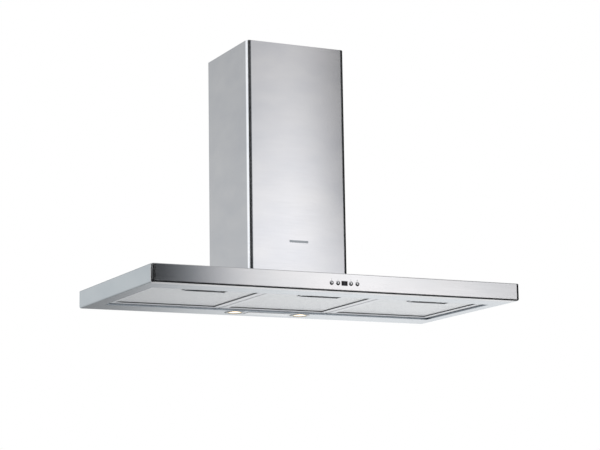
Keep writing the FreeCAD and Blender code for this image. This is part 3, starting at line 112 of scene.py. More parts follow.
def noise_in(tree, size_mm, detail=2.0):
    """Soft noise from 0 to 1 whose spots are about size_mm along x, y and z."""
    spot = add(tree, "TexCoord").outputs["Object"]
    place = add(tree, "Mapping", {"Vector": spot, "Scale": [1 / (s * MM) for s in size_mm]}).outputs[0]
    return add(tree, "TexNoise", {"Vector": place, "Scale": 1.0, "Detail": detail}).outputs[0]


# a MapRange's From Min and From Max: noise keeps near one half, so this band of it is spread
NOISE_BAND = {1: 0.3, 2: 0.7}


def grained(tree, shader, size_mm, smoothest, roughest, relief_mm=0.0):
    """Grain of a real size: it moves the roughness between two values and raises a relief of a real depth."""
    grain = noise_in(tree, size_mm)
    add(tree, "MapRange", {0: grain, **NOISE_BAND, 3: smoothest, 4: roughest}, shader.inputs["Roughness"])
    if relief_mm:
        add(tree, "Bump", {"Height": grain, "Distance": relief_mm * MM, "Strength": 1.0},
            shader.inputs["Normal"])


def painted_crevice_shade(tree, shader, reach_mm=7.0):
    """Paints shade into the base colour inside narrow gaps and folds: where an occlusion test finds close
    walls, the colour goes towards a dark blue-black.
    """
    shade = add(tree, "AmbientOcclusion", {"Distance": reach_mm * MM}, samples=8).outputs["AO"]
    kept = add(tree, "MapRange", {0: shade, 1: 0.25, 2: 0.8, 3: 0.0, 4: 1.0}).outputs[0]
    base = shader.inputs["Base Color"]
    unshaded_colour = base.links[0].from_socket if base.links else tuple(base.default_value)
    # painted shade: the base colour mixed towards #10151c by the occlusion share
    add(tree, "Mix", {0: kept, 6: linear("#10151c"), 7: unshaded_colour}, base, data_type="RGBA")


# ---------------------------------------------------------------- materials
def brushed_stainless(name, line_mm, dark="#cbced3", light="#d5d7da", roughness=0.22):
    """Brushed stainless steel sheet, drawn under an abrasive belt that leaves long fine scratches.

    The scratches keep a reflection sharp along their length and pull it out into a soft streak square to it.
    Slow clouds of tone show where the belt pressed harder.
    """
    material, tree, shader = surface(name, light, 1.0, roughness, {"Anisotropic": 0.82})
    # the scratches lie line_mm apart, coarser than the real 0.1 mm, which would vanish at the hood's distance
    scratches = noise_in(tree, line_mm)
    clouds = noise_in(tree, (180, 180, 90))
    cloud_share = add(tree, "MapRange", {0: clouds, **NOISE_BAND, 3: 0.0, 4: 1.0}).outputs[0]
    add(tree, "Mix", {0: cloud_share, 6: linear(dark), 7: linear(light)}, shader.inputs["Base Color"],
        data_type="RGBA")
    ends = {3: roughness - 0.02, 4: roughness + 0.03}
    fine = add(tree, "MapRange", {0: scratches, **NOISE_BAND, **ends}).outputs[0]
    wander = add(tree, "MapRange", {0: clouds, **NOISE_BAND, 3: -0.01, 4: 0.01}).outputs[0]
    add(tree, "Math", {0: fine, 1: wander}, shader.inputs["Roughness"], operation="ADD")
    add(tree, "Bump", {"Height": scratches, "Distance": 0.0012 * MM, "Strength": 1.0},
        shader.inputs["Normal"])
    # the streak's direction: upwards on every upright face, square to the brushing
    add(tree, "CombineXYZ", {0: 0.0, 1: 0.02, 2: 1.0}, shader.inputs["Tangent"])
    return material


def satin_steel(name, code, reach_mm=7.0, roughness=0.22):
    """Satin stainless steel sheet, rolled bright and scoured with a soft pad.

    The short soft grain blurs reflections nearly alike in every direction, and painted shade darkens the
    gaps.
    """
    material, tree, shader = surface(name, code, 0.92, roughness)
    # grain 0.8 mm wide, coarser than the real 0.1 mm
    grained(tree, shader, (12, 0.8, 0.8), roughness - 0.03, roughness + 0.05, 0.002)
    painted_crevice_shade(tree, shader, reach_mm)
    return material


def expanded_aluminium(name):
    """Anodised expanded aluminium: foil slit, stretched open and rolled flat.

    Its small rounded openings stand in staggered rows 3 mm apart and read as a pale weave with dark dots.
    """
    material, tree, shader = surface(name, "#ccd3d9", 0.75, 0.34)
    spot = add(tree, "TexCoord").outputs["Object"]
    place = add(tree, "Mapping", {"Vector": spot, "Scale": [1 / (3 * MM)] * 3,
                                  "Rotation": (0, 0, math.pi / 4)})
    flat = add(tree, "VectorMath", {0: place.outputs[0], 1: (1, 1, 0)}, operation="MULTIPLY").outputs[0]
    cells = add(tree, "TexVoronoi", {"Vector": flat, "Scale": 1.0, "Randomness": 0.0}).outputs[0]
    strand = add(tree, "MapRange", {0: cells, 1: 0.26, 2: 0.40, 3: 0.0, 4: 1.0}).outputs[0]
    add(tree, "Mix", {0: strand, 6: linear("#b9bcc0"), 7: linear("#eef0f1")}, shader.inputs["Base Color"],
        data_type="RGBA")
    # painted shade in the gaps and folds
    painted_crevice_shade(tree, shader)
    add(tree, "Bump", {"Height": strand, "Distance": 0.25 * MM, "Strength": 1.0}, shader.inputs["Normal"])
    return material


def satin_aluminium(name, code, roughness=0.38):
    """Satin anodised aluminium, drawn through a die or cast, etched and anodised.

    Faint drawing lines and the etched skin make it paler and softer in its shine than steel.
    """
    material, tree, shader = surface(name, code, 0.85, roughness)
    # lines 0.6 mm apart, coarser than the real 0.1 mm
    grained(tree, shader, (30, 0.6, 0.6), roughness - 0.04, roughness + 0.05, 0.002)
    # painted shade in the gaps and folds, such as those between the filter frames
    painted_crevice_shade(tree, shader)
    return material


def galvanised_steel(name):
    """Galvanised steel sheet, dipped in molten zinc that froze in large flat crystals.

    The crystals make a dull grey patchwork in which each patch is a little lighter or shinier than the next.
    """
    material, tree, shader = surface(name, "#a9afb3", 0.9, 0.45)
    spot = add(tree, "TexCoord").outputs["Object"]
    place = add(tree, "Mapping", {"Vector": spot, "Scale": [1 / (9 * MM)] * 3}).outputs[0]
    crystals = add(tree, "TexVoronoi", {"Vector": place, "Scale": 1.0})
    shade = add(tree, "SeparateXYZ", {0: crystals.outputs["Color"]}).outputs[0]
    add(tree, "Mix", {0: shade, 6: linear("#959ca1"), 7: linear("#b9bfc3")}, shader.inputs["Base Color"],
        data_type="RGBA")
    add(tree, "MapRange", {0: shade, 3: 0.36, 4: 0.52}, shader.inputs["Roughness"])
    return material


def moulded_plastic(name, code, roughness=0.45, grain_mm=0.4):
    """Injection-moulded plastic, pressed against a spark-eroded tool whose fine pits it copies.

    The grain breaks a highlight up into a soft, even sheen.
    """
    material, tree, shader = surface(name, code, 0.0, roughness, {"IOR": 1.5})
    # spots of grain_mm, coarser than the real 0.1 mm pits
    grained(tree, shader, (grain_mm, grain_mm, grain_mm), roughness - 0.05, roughness + 0.07, 0.02)
    return material


def polished_metal(name, code, roughness):
    """Polished metal, spun, ground or plated over a buffed face.

    It mirrors its surroundings, a little softened by polishing marks that hardly show.
    """
    material, tree, shader = surface(name, code, 1.0, roughness)
    grained(tree, shader, (3, 3, 0.3), roughness - 0.02, roughness + 0.03)
    return material


def circuit_board(name):
    """Glass-epoxy circuit board, etched and coated with green solder mask.

    Copper tracks under the glossy coat show as lighter streaks.
    """
    material, tree, shader = surface(name, "#1d5a38", 0.0, 0.32, {"IOR": 1.55})
    streaks = noise_in(tree, (6, 1.2, 1.2), 1.0)
    tracks = add(tree, "MapRange", {0: streaks, **NOISE_BAND, 3: 0.0, 4: 1.0}).outputs[0]
    add(tree, "Mix", {0: tracks, 6: linear("#174a2d"), 7: linear("#2a7448")}, shader.inputs["Base Color"],
        data_type="RGBA")
    return material


def smoked_acrylic(name):
    """Smoked acrylic, cast as a tinted sheet and polished.

    It is a smooth, nearly black pane with a faint haze.
    """
    material, tree, shader = surface(name, "#0b0d10", 0.0, 0.06, {"IOR": 1.49, "Specular IOR Level": 0.2})
    grained(tree, shader, (8, 8, 8), 0.04, 0.09)
    return material


def frosted_glass(name):
    """Frosted glass, pressed with ribs and etched inside, with the lamp lit behind it.

    The capsule glows through the middle and the light fades towards the rim.
    """
    material, tree, shader = surface(name, "#e9e4d8", 0.0, 0.3,
                                     {"IOR": 1.5, "Emission Color": linear("#ffe2b4")})
    low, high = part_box("lamp_lens_right")
    spot = add(tree, "SeparateXYZ", {0: add(tree, "TexCoord").outputs["Object"]}).outputs
    # the lenses mirror each other about the hood's middle, so one centre serves both
    across = add(tree, "Math", {0: spot[0]}, operation="ABSOLUTE").outputs[0]
    flat = add(tree, "CombineXYZ", {0: across, 1: spot[1]}).outputs[0]
    centre = ((low[0] + high[0]) / 2, (low[1] + high[1]) / 2, 0)
    away = add(tree, "VectorMath", {0: flat, 1: centre}, operation="DISTANCE").outputs["Value"]
    radius = (high[0] - low[0]) / 2
    add(tree, "MapRange", {0: away, 1: 0.15 * radius, 2: 0.85 * radius, 3: 4.0, 4: 0.8},
        shader.inputs["Emission Strength"], interpolation_type="SMOOTHSTEP")
    return material


def lit_quartz(name):
    """Quartz glass, drawn as a tube and pinched shut round a filament.

    It glows warm white, a little unevenly along its length.
    """
    material, tree, shader = surface(name, "#fff4e0", 0.0, 0.15,
                                     {"IOR": 1.46, "Emission Color": linear("#ffe0b0")})
    add(tree, "MapRange", {0: noise_in(tree, (4, 4, 4)), **NOISE_BAND, 3: 10.0, 4: 13.0},
        shader.inputs["Emission Strength"])
    return material


def printed_ink(name, code):
    """Ink, screen-printed and baked: a thin matt layer whose sheen varies a little with its thickness."""
    material, tree, shader = surface(name, code, 0.0, 0.55)
    grained(tree, shader, (1.5, 1.5, 1.5), 0.5, 0.62)
    return material


# canopy: stainless sheet, belt brushed along its length; cool grey with light streaked front to back
STEEL_SHELL = brushed_stainless("stainless_brushed_canopy", (60, 60, 0.8), "#cbd4da", "#d4dce1")
# fascia: the same sheet, brushed from end to end; reflections run up and down it
STEEL_FASCIA = brushed_stainless("stainless_brushed_fascia", (80, 80, 0.8), "#cdd0d3", "#d6d7d9")
# chimney: stainless sheet, belt brushed level; soft upright streaks of light
STEEL_CHIMNEY = brushed_stainless("stainless_brushed_chimney", (70, 70, 0.9))
# upper section: the chimney's own sheet and finish
STEEL_INNER = brushed_stainless("stainless_brushed_upper_section", (70, 70, 0.9))
# underside rim: stainless sheet, scoured satin; even cool grey, with painted shade in its folds
STEEL_RIM = satin_steel("stainless_satin_underside", "#abb3ba")
# latch trays and lamp plate: stainless, pressed and scoured; bright, with painted shade reaching deep into
# the recess
STEEL_PRESSED = satin_steel("stainless_pressed_latch_tray", "#d6dadd", 16.0, 0.26)
# filter mesh: aluminium foil, slit, stretched and anodised; pale weave
MESH = expanded_aluminium("aluminium_expanded_mesh")
# filter frames: aluminium section, drawn and clear anodised; pale and silky
FRAME = satin_aluminium("aluminium_anodised_filter_frame", "#e3e5e8")
# motor's can: aluminium, die cast and etched; dull mid grey
MOTOR = satin_aluminium("aluminium_cast_motor", "#a9acb0", 0.5)
# lamp cans and reflectors: aluminium, spun and bright dipped; soft mirror
CAN = polished_metal("aluminium_spun_bright", "#d8dadc", 0.16)
# lamp bezels: steel, turned and satin nickel plated; grey with a blurred mirror
BEZEL = polished_metal("steel_satin_bezel", "#8f9498", 0.22)
# button caps: brass, polished and chrome plated; clear mirror with dark edges
CHROME = polished_metal("chrome_plated_button", "#e2e4e6", 0.07)
# springs, shaft, pin and screws: steel wire and bar, drawn or ground bright; glints along each edge
BRIGHT = polished_metal("steel_bright_ground", "#c4c6c8", 0.18)
# blower box and brackets: steel sheet, hot-dip galvanised; dull grey patches
ZINC = galvanised_steel("steel_galvanised")
# housings and flaps: black ABS, moulded in an eroded tool; dull soft sheen
BLACK = moulded_plastic("abs_black_moulded", "#1a1b1d", 0.42)
# latch sliders: black nylon, moulded in a smoother tool; a little glossier
LATCH = moulded_plastic("nylon_black_latch", "#15161a", 0.35)
# scroll, wheel and collar: grey polypropylene, moulded with a coarser grain; waxy
DARK_GREY = moulded_plastic("polypropylene_dark_grey", "#33363a", 0.48, 0.6)
# rest pads: natural nylon, moulded; creamy and waxy
NATURAL = moulded_plastic("nylon_natural", "#dcdacf", 0.5)
# capacitor: white polypropylene, moulded; smooth, faint sheen
WHITE_CAN = moulded_plastic("polypropylene_white", "#d9d9d4", 0.4)
# transformer: epoxy resin, poured into its case and cured; uneven, slightly wavy shine
RESIN = moulded_plastic("epoxy_resin_potted", "#26282c", 0.38, 1.2)
# leads: grey PVC, extruded over the wires; soft even sheen
SHEATH = moulded_plastic("pvc_grey_sheath", "#c4c6c8", 0.5)
# circuit boards: glass epoxy under solder mask; glossy green
BOARD = circuit_board("circuit_board_green")
# display window: smoked acrylic, polished; nearly black and glossy
WINDOW = smoked_acrylic("acrylic_smoked")
# lamp lenses: glass, pressed and etched; milky, lit from behind
LENS = frosted_glass("glass_frosted_lens_lit")
# lamp capsules: quartz, drawn and pinched; glowing warm white
CAPSULE = lit_quartz("quartz_capsule_lit")
# button signs: grey ink, screen-printed; matt
INK = printed_ink("ink_grey_printed", "#5b6066")
# plain bar: mid-grey ink, screen-printed on a thin strip; matt
BADGE = printed_ink("ink_mid_grey_bar", "#a3a7ac")
# unlit numerals: dark grey ink on the display; matt, hardly seen
SEGMENT = printed_ink("display_segment_unlit", "#3a3f45")

FINISHES = {
    "canopy_shell": STEEL_SHELL, "front_fascia": STEEL_FASCIA, "chimney_lower": STEEL_CHIMNEY,
    "chimney_upper": STEEL_INNER, "underside_frame": STEEL_RIM, "lamp_cover_plate": STEEL_PRESSED,
    "control_housing": BLACK, "control_board": BOARD, "display_module": BLACK, "display_window": WINDOW,
    "lamp_transformer": RESIN, "power_box": BLACK, "power_box_lid": BLACK, "power_board": BOARD,
    "mains_gland": BLACK, "gland_nut": BLACK, "blower_box": ZINC, "wall_plate": ZINC, "upper_bracket": ZINC,
    "motor_bracket": ZINC, "scroll_left": DARK_GREY, "scroll_right": DARK_GREY, "impeller": DARK_GREY,
    "motor_shaft": BRIGHT, "motor_can": MOTOR, "capacitor": WHITE_CAN, "blower_screws": BRIGHT,
    "duct_collar": DARK_GREY, "flap_pin": BRIGHT, "flap_front": BLACK, "flap_rear": BLACK,
    "chimney_pads": NATURAL, "wiring_loom": SHEATH,
}
for side in SIDES:
    FINISHES.update({"filter_frame_" + side: FRAME, "filter_mesh_" + side: MESH,
                     "latch_cup_" + side: STEEL_PRESSED, "latch_slider_" + side: LATCH,
                     "latch_springs_" + side: BRIGHT})
for name in BUTTONS:
    FINISHES["button_" + name] = CHROME
for side in LAMPS:
    FINISHES.update({"lamp_bezel_" + side: CAN, "lamp_lens_" + side: LENS, "lamp_housing_" + side: CAN,
                     "lamp_bulb_" + side: CAPSULE})


def finish_cad_nodes():
    """Gives every carried node its own finish."""
    for node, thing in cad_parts.items():
        thing.data.materials.clear()
        thing.data.materials.append(FINISHES[node])


# ---------------------------------------------------------------- surfaces
CREASE = 35  # degrees: edges that bend more than this stay sharp


def mesh_piece(name, points, faces, material, body):
    """Mesh object from arrays of points and faces, riding on a body."""
    mesh = bpy.data.meshes.new(name)
    mesh.from_pydata(np.asarray(points).tolist(), [], faces)
    mesh.update()
    mesh.materials.append(material)
    piece = bpy.data.objects.new(name, mesh)
    bpy.context.collection.objects.link(piece)
    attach(piece, body)
    return piece


def close_up(piece, crease=None):
    """Merges the seam and the poles and turns every face outwards.

    Given a crease in degrees, the faces shade smoothly across every edge that bends less than that.
    """
    work = bmesh.new()
    work.from_mesh(piece.data)
    bmesh.ops.remove_doubles(work, verts=work.verts, dist=1e-6)
    bmesh.ops.dissolve_degenerate(work, edges=work.edges, dist=1e-7)
    bmesh.ops.recalc_face_normals(work, faces=work.faces)
    work.to_mesh(piece.data)
    work.free()
    if crease is not None:
        piece.data.shade_smooth()
        piece.data.set_sharp_from_angle(angle=math.radians(crease))


def grid_faces(rows, columns, around=False):
    """Quads of a rows by columns grid of points; around closes the second direction."""
    index = np.arange(rows * columns).reshape(rows, columns)
    if around:
        index = np.hstack((index, index[:, :1]))
    return np.stack((index[:-1, :-1], index[:-1, 1:], index[1:, 1:], index[1:, :-1]), 2).reshape(-1, 4)


def turned(name, profile, centre, axis, material, body, steps=72):
    """Turned form: a profile of (radius, height) points carried round the axis through the centre.

    A profile that starts and ends on the axis is left open there, any other is closed into a loop.

    Point (i, a) = centre + height_i * axis + radius_i * (cos a * u + sin a * v), with u and v square
    to the axis.
    """
    axis = np.array(axis, float)
    u = np.array((1.0, 0, 0)) if abs(axis[0]) < 0.5 else np.array((0, 1.0, 0))
    v = np.cross(axis, u)
    solid = profile[0][0] == 0 and profile[-1][0] == 0
    loop = np.array(list(profile) + ([] if solid else [profile[0]]), float)
    angle = np.arange(steps) * 2 * math.pi / steps
    rim = np.cos(angle)[:, None] * u + np.sin(angle)[:, None] * v
    points = np.array(centre) + loop[:, 1, None, None] * axis + loop[:, 0, None, None] * rim[None]
    piece = mesh_piece(name, points.reshape(-1, 3), grid_faces(len(loop), steps, True).tolist(), material,
                       body)
    close_up(piece, CREASE)
    return piece


def wire(name, path, radius, material, body, sides=6):
    """Round wire: a circle carried along the path, square to it, with flat ends.

    Point (i, a) = path_i + radius * (cos a * u_i + sin a * v_i), with u_i and v_i square to the path there.
    """
    path = np.asarray(path, float)
    along = np.gradient(path, axis=0)
    along /= np.linalg.norm(along, axis=1)[:, None]
    guide = np.array((0.13, 0.31, 0.94))
    u = np.cross(along, guide)
    u /= np.linalg.norm(u, axis=1)[:, None]
    v = np.cross(along, u)
    angle = np.arange(sides) * 2 * math.pi / sides
    circle = np.cos(angle)[:, None] * u[:, None] + np.sin(angle)[:, None] * v[:, None]
    points = (path[:, None] + radius * circle).reshape(-1, 3)
    ends = [list(range(sides)), list(range(len(points) - sides, len(points)))]
    faces = grid_faces(len(path), sides, True).tolist() + ends
    piece = mesh_piece(name, points, faces, material, body)
    close_up(piece, CREASE)
    return piece


def flat_sign(name, outlines, depth, y, material, body):
    """Thin marks on a face that looks towards -Y: outlines of (x, z) points, raised by depth from y."""
    points, faces, base = [], [], 0
    for outline in outlines:
        count = len(outline)
        points.append(np.insert(outline, 1, y - depth, axis=1))
        points.append(np.insert(outline, 1, y, axis=1))
        near = base + np.arange(count)
        far = near + count
        walls = np.stack((near, far, np.roll(far, -1), np.roll(near, -1)), 1)
        faces += [near.tolist(), far[::-1].tolist()] + walls.tolist()
        base += 2 * count
    piece = mesh_piece(name, np.concatenate(points), faces, material, body)
    close_up(piece)
    return piece


def bar_outline(x, z, width, height):
    """Rectangle about a centre: x +- width / 2 and z +- height / 2."""
    return np.array((x, z)) + np.array(((-1, -1), (1, -1), (1, 1), (-1, 1))) * (width / 2, height / 2)


def ring_outline(x, z, radius, width, steps=24):
    """Thin ring about a centre as one outline: out along the rim and back inside, with a slit of 0.1 degrees.

    Point = (x + r cos a, z + r sin a), with r = radius + width / 2 out and radius - width / 2 back.
    """
    angle = np.radians(np.linspace(90.05, 449.95, steps + 1))
    turn = np.concatenate((angle, angle[::-1]))
    reach = np.repeat((radius + width / 2, radius - width / 2), steps + 1)
    return np.stack((x + reach * np.cos(turn), z + reach * np.sin(turn)), 1)


# ---------------------------------------------------------------- pieces
def middle_of(node):
    """Centre of a node's box."""
    low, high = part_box(node)
    return [(a + b) / 2 for a, b in zip(low, high)]


def button_caps():
    """Plated caps: a dome cut from a ball of 1.25 cap radii, then the skirt and keeper behind the fascia.

    Dome height at radius r = R - sqrt(R^2 - r^2), with R the ball's radius.
    """
    flange, flange_start, flange_end, stem, rounding = 1.2 * MM, 9.3 * MM, 10.5 * MM, 2.5 * MM, 0.3 * MM
    for name in BUTTONS:
        node = "button_" + name
        low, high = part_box(node)
        x, _, z = middle_of(node)
        front, length = low[1], high[1] - low[1]
        keeper = (high[0] - low[0]) / 2
        radius = keeper - flange
        ball = 1.25 * radius
        reach = np.linspace(0, 0.985 * radius, 12)
        dome = np.stack((reach, ball - np.sqrt(ball ** 2 - reach ** 2)), 1).tolist()
        skirt = [(radius, dome[-1][1] + rounding), (radius, flange_start), (keeper, flange_start),
                 (keeper, flange_end), (stem, flange_end), (stem, length), (0, length)]
        cap = turned("button_cap_" + name, dome + skirt, (x, front, z), (0, 1, 0), CHROME, node)
        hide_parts(node)


def lamp_pieces():
    """Bezel with a rolled edge, ribbed lens and reflector for each lamp.

    Lens underside at radius r of R = 0.35 mm on every other rib + 0.25 mm * (r / R)^2.
    Reflector at height 5 mm + 17 mm * t: radius = 10 mm + 15 mm * sqrt(1 - t).
    """
    lip_height, lip_width, collar_top, play = 1.5 * MM, 4.3 * MM, 7 * MM, 0.2 * MM
    seat, rib, crown = 0.95 * MM, 0.35 * MM, 0.25 * MM
    neck, flare, cup_start, cup_height, wall = 10 * MM, 15 * MM, 5 * MM, 17 * MM, (0.6 * MM, 0.3 * MM)
    for side in LAMPS:
        low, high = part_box("lamp_bezel_" + side)
        x, y = (low[0] + high[0]) / 2, (low[1] + high[1]) / 2
        outer = (high[0] - low[0]) / 2
        lens_low, lens_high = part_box("lamp_lens_" + side)
        lens, thick = (lens_high[0] - lens_low[0]) / 2, lens_high[2] - lens_low[2]
        # from the lens's seat round the rolled edge, then up the collar that grips the lens
        profile = [(lens - 1.8 * MM, seat), (lens - 1.8 * MM, -0.4 * MM), (lens - 1.0 * MM, -1.2 * MM),
                   (lens + 1.0 * MM, -lip_height), (outer - 2.2 * MM, -1.35 * MM),
                   (outer - 0.7 * MM, -0.9 * MM), (outer, -0.25 * MM), (outer, 0.0),
                   (outer - lip_width, 0.0), (outer - lip_width, collar_top), (lens + play, collar_top),
                   (lens + play, seat)]
        bezel = turned("bezel_" + side, profile, (x, y, low[2] + lip_height), (0, 0, 1), BEZEL, "hood",
                       96)
        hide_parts("lamp_bezel_" + side)
        radii = np.linspace(0, lens, 22)
        section = [(r, rib * (n % 2) + crown * (r / lens) ** 2) for n, r in enumerate(radii)]
        section += [(lens, thick), (0, thick)]
        disc = turned("lens_" + side, section, (x, y, lens_low[2]), (0, 0, 1), LENS, "hood", 96)
        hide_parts("lamp_lens_" + side)
        share = np.linspace(0, 1, 9)
        cup = np.stack((neck + flare * np.sqrt(1 - share), cup_start + cup_height * share), 1)
        section = np.concatenate((cup, cup[::-1] + wall)).tolist()
        can_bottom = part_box("lamp_housing_" + side)[0][2]
        turned("reflector_" + side, section, (x, y, can_bottom - 1 * MM), (0, 0, 1), CAN, "hood",
               24)


def latch_coils():
    """Wound springs in place of the plain sleeves: a helix of six turns along y.

    Point at t from 0 to 1 = (x + r cos 12 pi t, start + t * length, z + r sin 12 pi t).
    """
    wire_radius = 0.28 * MM
    share = np.linspace(0, 1, 145)
    angle = share * 12 * math.pi
    for side in SIDES:
        low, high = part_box("latch_springs_" + side)
        radius, length = (high[2] - low[2]) / 2, high[1] - low[1]
        z = (low[2] + high[2]) / 2
        coils = []
        for number, x in enumerate((low[0] + radius, high[0] - radius)):
            path = np.stack((x + (radius - wire_radius) * np.cos(angle),
                             low[1] + wire_radius + share * (length - 2 * wire_radius),
                             z + (radius - wire_radius) * np.sin(angle)), 1)
            coils.append(wire("latch_coil_%s_%d" % (side, number + 1), path, wire_radius, BRIGHT,
                              "filter_" + side))
        for coil in coils:
            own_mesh(coil)
        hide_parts("latch_springs_" + side)


def mesh_panels():
    """Expanded mesh of each filter, set back above the frame's face and cut out round the latch tray.

    Height = base + 0.1 mm * sin(pi x / 12 mm) * sin(pi y / 12 mm): shallow pillows left by the rolling.
    """
    setback, sheet, pillow, half_wave = 2.8 * MM, 0.8 * MM, 0.1 * MM, 12 * MM
    edge, under_tray, spacing = 1 * MM, 3 * MM, 4 * MM
    for side in SIDES:
        low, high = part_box("filter_mesh_" + side)
        tray_low, tray_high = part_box("latch_cup_" + side)
        lines = []
        for way in (0, 1):
            stops = (low[way] + edge, tray_low[way] + under_tray, tray_high[way] - under_tray,
                     high[way] - edge)
            runs = [np.linspace(a, b, max(2, round((b - a) / spacing)), endpoint=False)
                    for a, b in zip(stops, stops[1:])]
            lines.append(np.append(np.concatenate(runs), stops[-1]))
        x, y = np.meshgrid(lines[0], lines[1], indexing="ij")
        z = low[2] + setback + pillow * np.sin(math.pi * x / half_wave) * np.sin(math.pi * y / half_wave)
        points = np.stack((x, y, z), 2).reshape(-1, 3)
        # reversed, so that the faces look down
        faces = grid_faces(*x.shape)[:, ::-1]
        middle = points[faces].mean(1)[:, :2]
        hole_low, hole_high = np.array(tray_low[:2]) + under_tray, np.array(tray_high[:2]) - under_tray
        hole = ((middle > hole_low) & (middle < hole_high)).all(1)
        panel = mesh_piece("mesh_panel_" + side, points, faces[~hole].tolist(), MESH, "filter_" + side)
        panel.data.shade_smooth()
        panel.modifiers.new("sheet", "SOLIDIFY").thickness = sheet
        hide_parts("filter_mesh_" + side)


def control_marks():
    """Small printed signs above the buttons, and the unlit numeral bars behind the window."""
    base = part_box("button_light")[1][2] + 2.6 * MM
    light, less, more, timer = (middle_of("button_" + name)[0] for name in BUTTONS)
    marks = [
        ring_outline(light, base + 1.2 * MM, 1.0 * MM, 0.5 * MM),  # a bulb on its cap
        bar_outline(light, base - 0.5 * MM, 1.1 * MM, 0.5 * MM),
        bar_outline(less, base + 1.0 * MM, 3.0 * MM, 0.6 * MM),  # minus
        bar_outline(more, base + 1.0 * MM, 3.0 * MM, 0.6 * MM),  # plus, its upright in two halves
        bar_outline(more, base + 1.9 * MM, 0.6 * MM, 1.2 * MM),
        bar_outline(more, base + 0.1 * MM, 0.6 * MM, 1.2 * MM),
        ring_outline(timer, base + 1.0 * MM, 1.4 * MM, 0.45 * MM),  # a clock with one hand
        bar_outline(timer, base + 1.5 * MM, 0.4 * MM, 1.0 * MM),
    ]
    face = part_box("front_fascia")[0][1]
    flat_sign("control_signs", marks, 0.06 * MM, face, INK, "hood")
    x, _, z = middle_of("display_window")
    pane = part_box("display_window")[0][1]
    bars = [bar_outline(x, z + n * 4 * MM, 3.2 * MM, 0.7 * MM) for n in (-1, 0, 1)]
    bars += [bar_outline(x + i * 2.1 * MM, z + j * 2 * MM, 0.7 * MM, 3.0 * MM)
             for i in (-1, 1) for j in (-1, 1)]
    flat_sign("display_numeral", bars, 0.04 * MM, pane, SEGMENT, "hood")


def plain_plate():
    """Plain slim bar with round corners on the chimney front, where a maker would put a name.

    Corner points = corner's centre + corner * (cos a, sin a), a quarter turn at each.
    """
    low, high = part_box("chimney_lower")
    middle = (low[0] + high[0]) / 2
    z = low[2] + 141 * MM
    width, height, corner, proud = 64 * MM, 7 * MM, 1.6 * MM, 0.15 * MM
    outline = []
    for quarter, (sx, sz) in enumerate(((1, 1), (-1, 1), (-1, -1), (1, -1))):
        turn = np.linspace(0, math.pi / 2, 7) + quarter * math.pi / 2
        outline.append(np.stack((middle + sx * (width / 2 - corner) + corner * np.cos(turn),
                                 z + sz * (height / 2 - corner) + corner * np.sin(turn)), 1))
    flat_sign("chimney_plain_bar", [np.concatenate(outline)], proud, low[1], BADGE, "hood")


# ---------------------------------------------------------------- studio
# what the metal sees, as (degrees, brightness)
# by compass direction, 0 straight ahead of the hood and positive to the right
AROUND = ((-180, 0.68), (-150, 0.74), (-140, 0.9), (-126, 1.7), (-66, 1.7), (-60, 0.0), (21, 0.0), (25, 1.3),
          (31, 1.5), (34, 0.0), (128, 0.0), (134, 1.4), (150, 1.18), (153, 1.27), (155, 1.15), (157, 0.95),
          (159.5, 0.35), (165, 0.2), (180, 0.4))
AROUND_SOFT = ((-180, 0.6), (-130, 0.8), (-90, 1.1), (0, 1.0), (90, 1.1), (134, 1.2), (150, 1.18),
               (153, 1.27), (155, 1.15), (157, 0.95), (159.5, 0.35), (165, 0.2), (180, 0.4))
# by height above the horizon: how far the dark gaps of AROUND show instead of AROUND_SOFT, and the brightness
GAP_SHARE = ((-90, 0.0), (-12, 0.0), (-5, 1.0), (28, 1.0), (38, 0.0), (90, 0.0))
UPWARDS = ((-90, 0.75), (-20, 0.9), (0, 1.0), (9, 1.02), (18, 0.74), (40, 0.6), (60, 0.45), (90, 0.7))


def set_stops(ramp, stops, start, end):
    """Gives a colour ramp its stops, each a place between start and end with a grey level or a colour."""
    points = ramp.color_ramp.elements
    while len(points) < len(stops):
        points.new(0.5)
    for point, (place, level) in zip(points, stops):
        point.position = (place - start) / (end - start)
        point.color = level if isinstance(level, tuple) else (level, level, level, 1)
    return ramp.outputs[0]


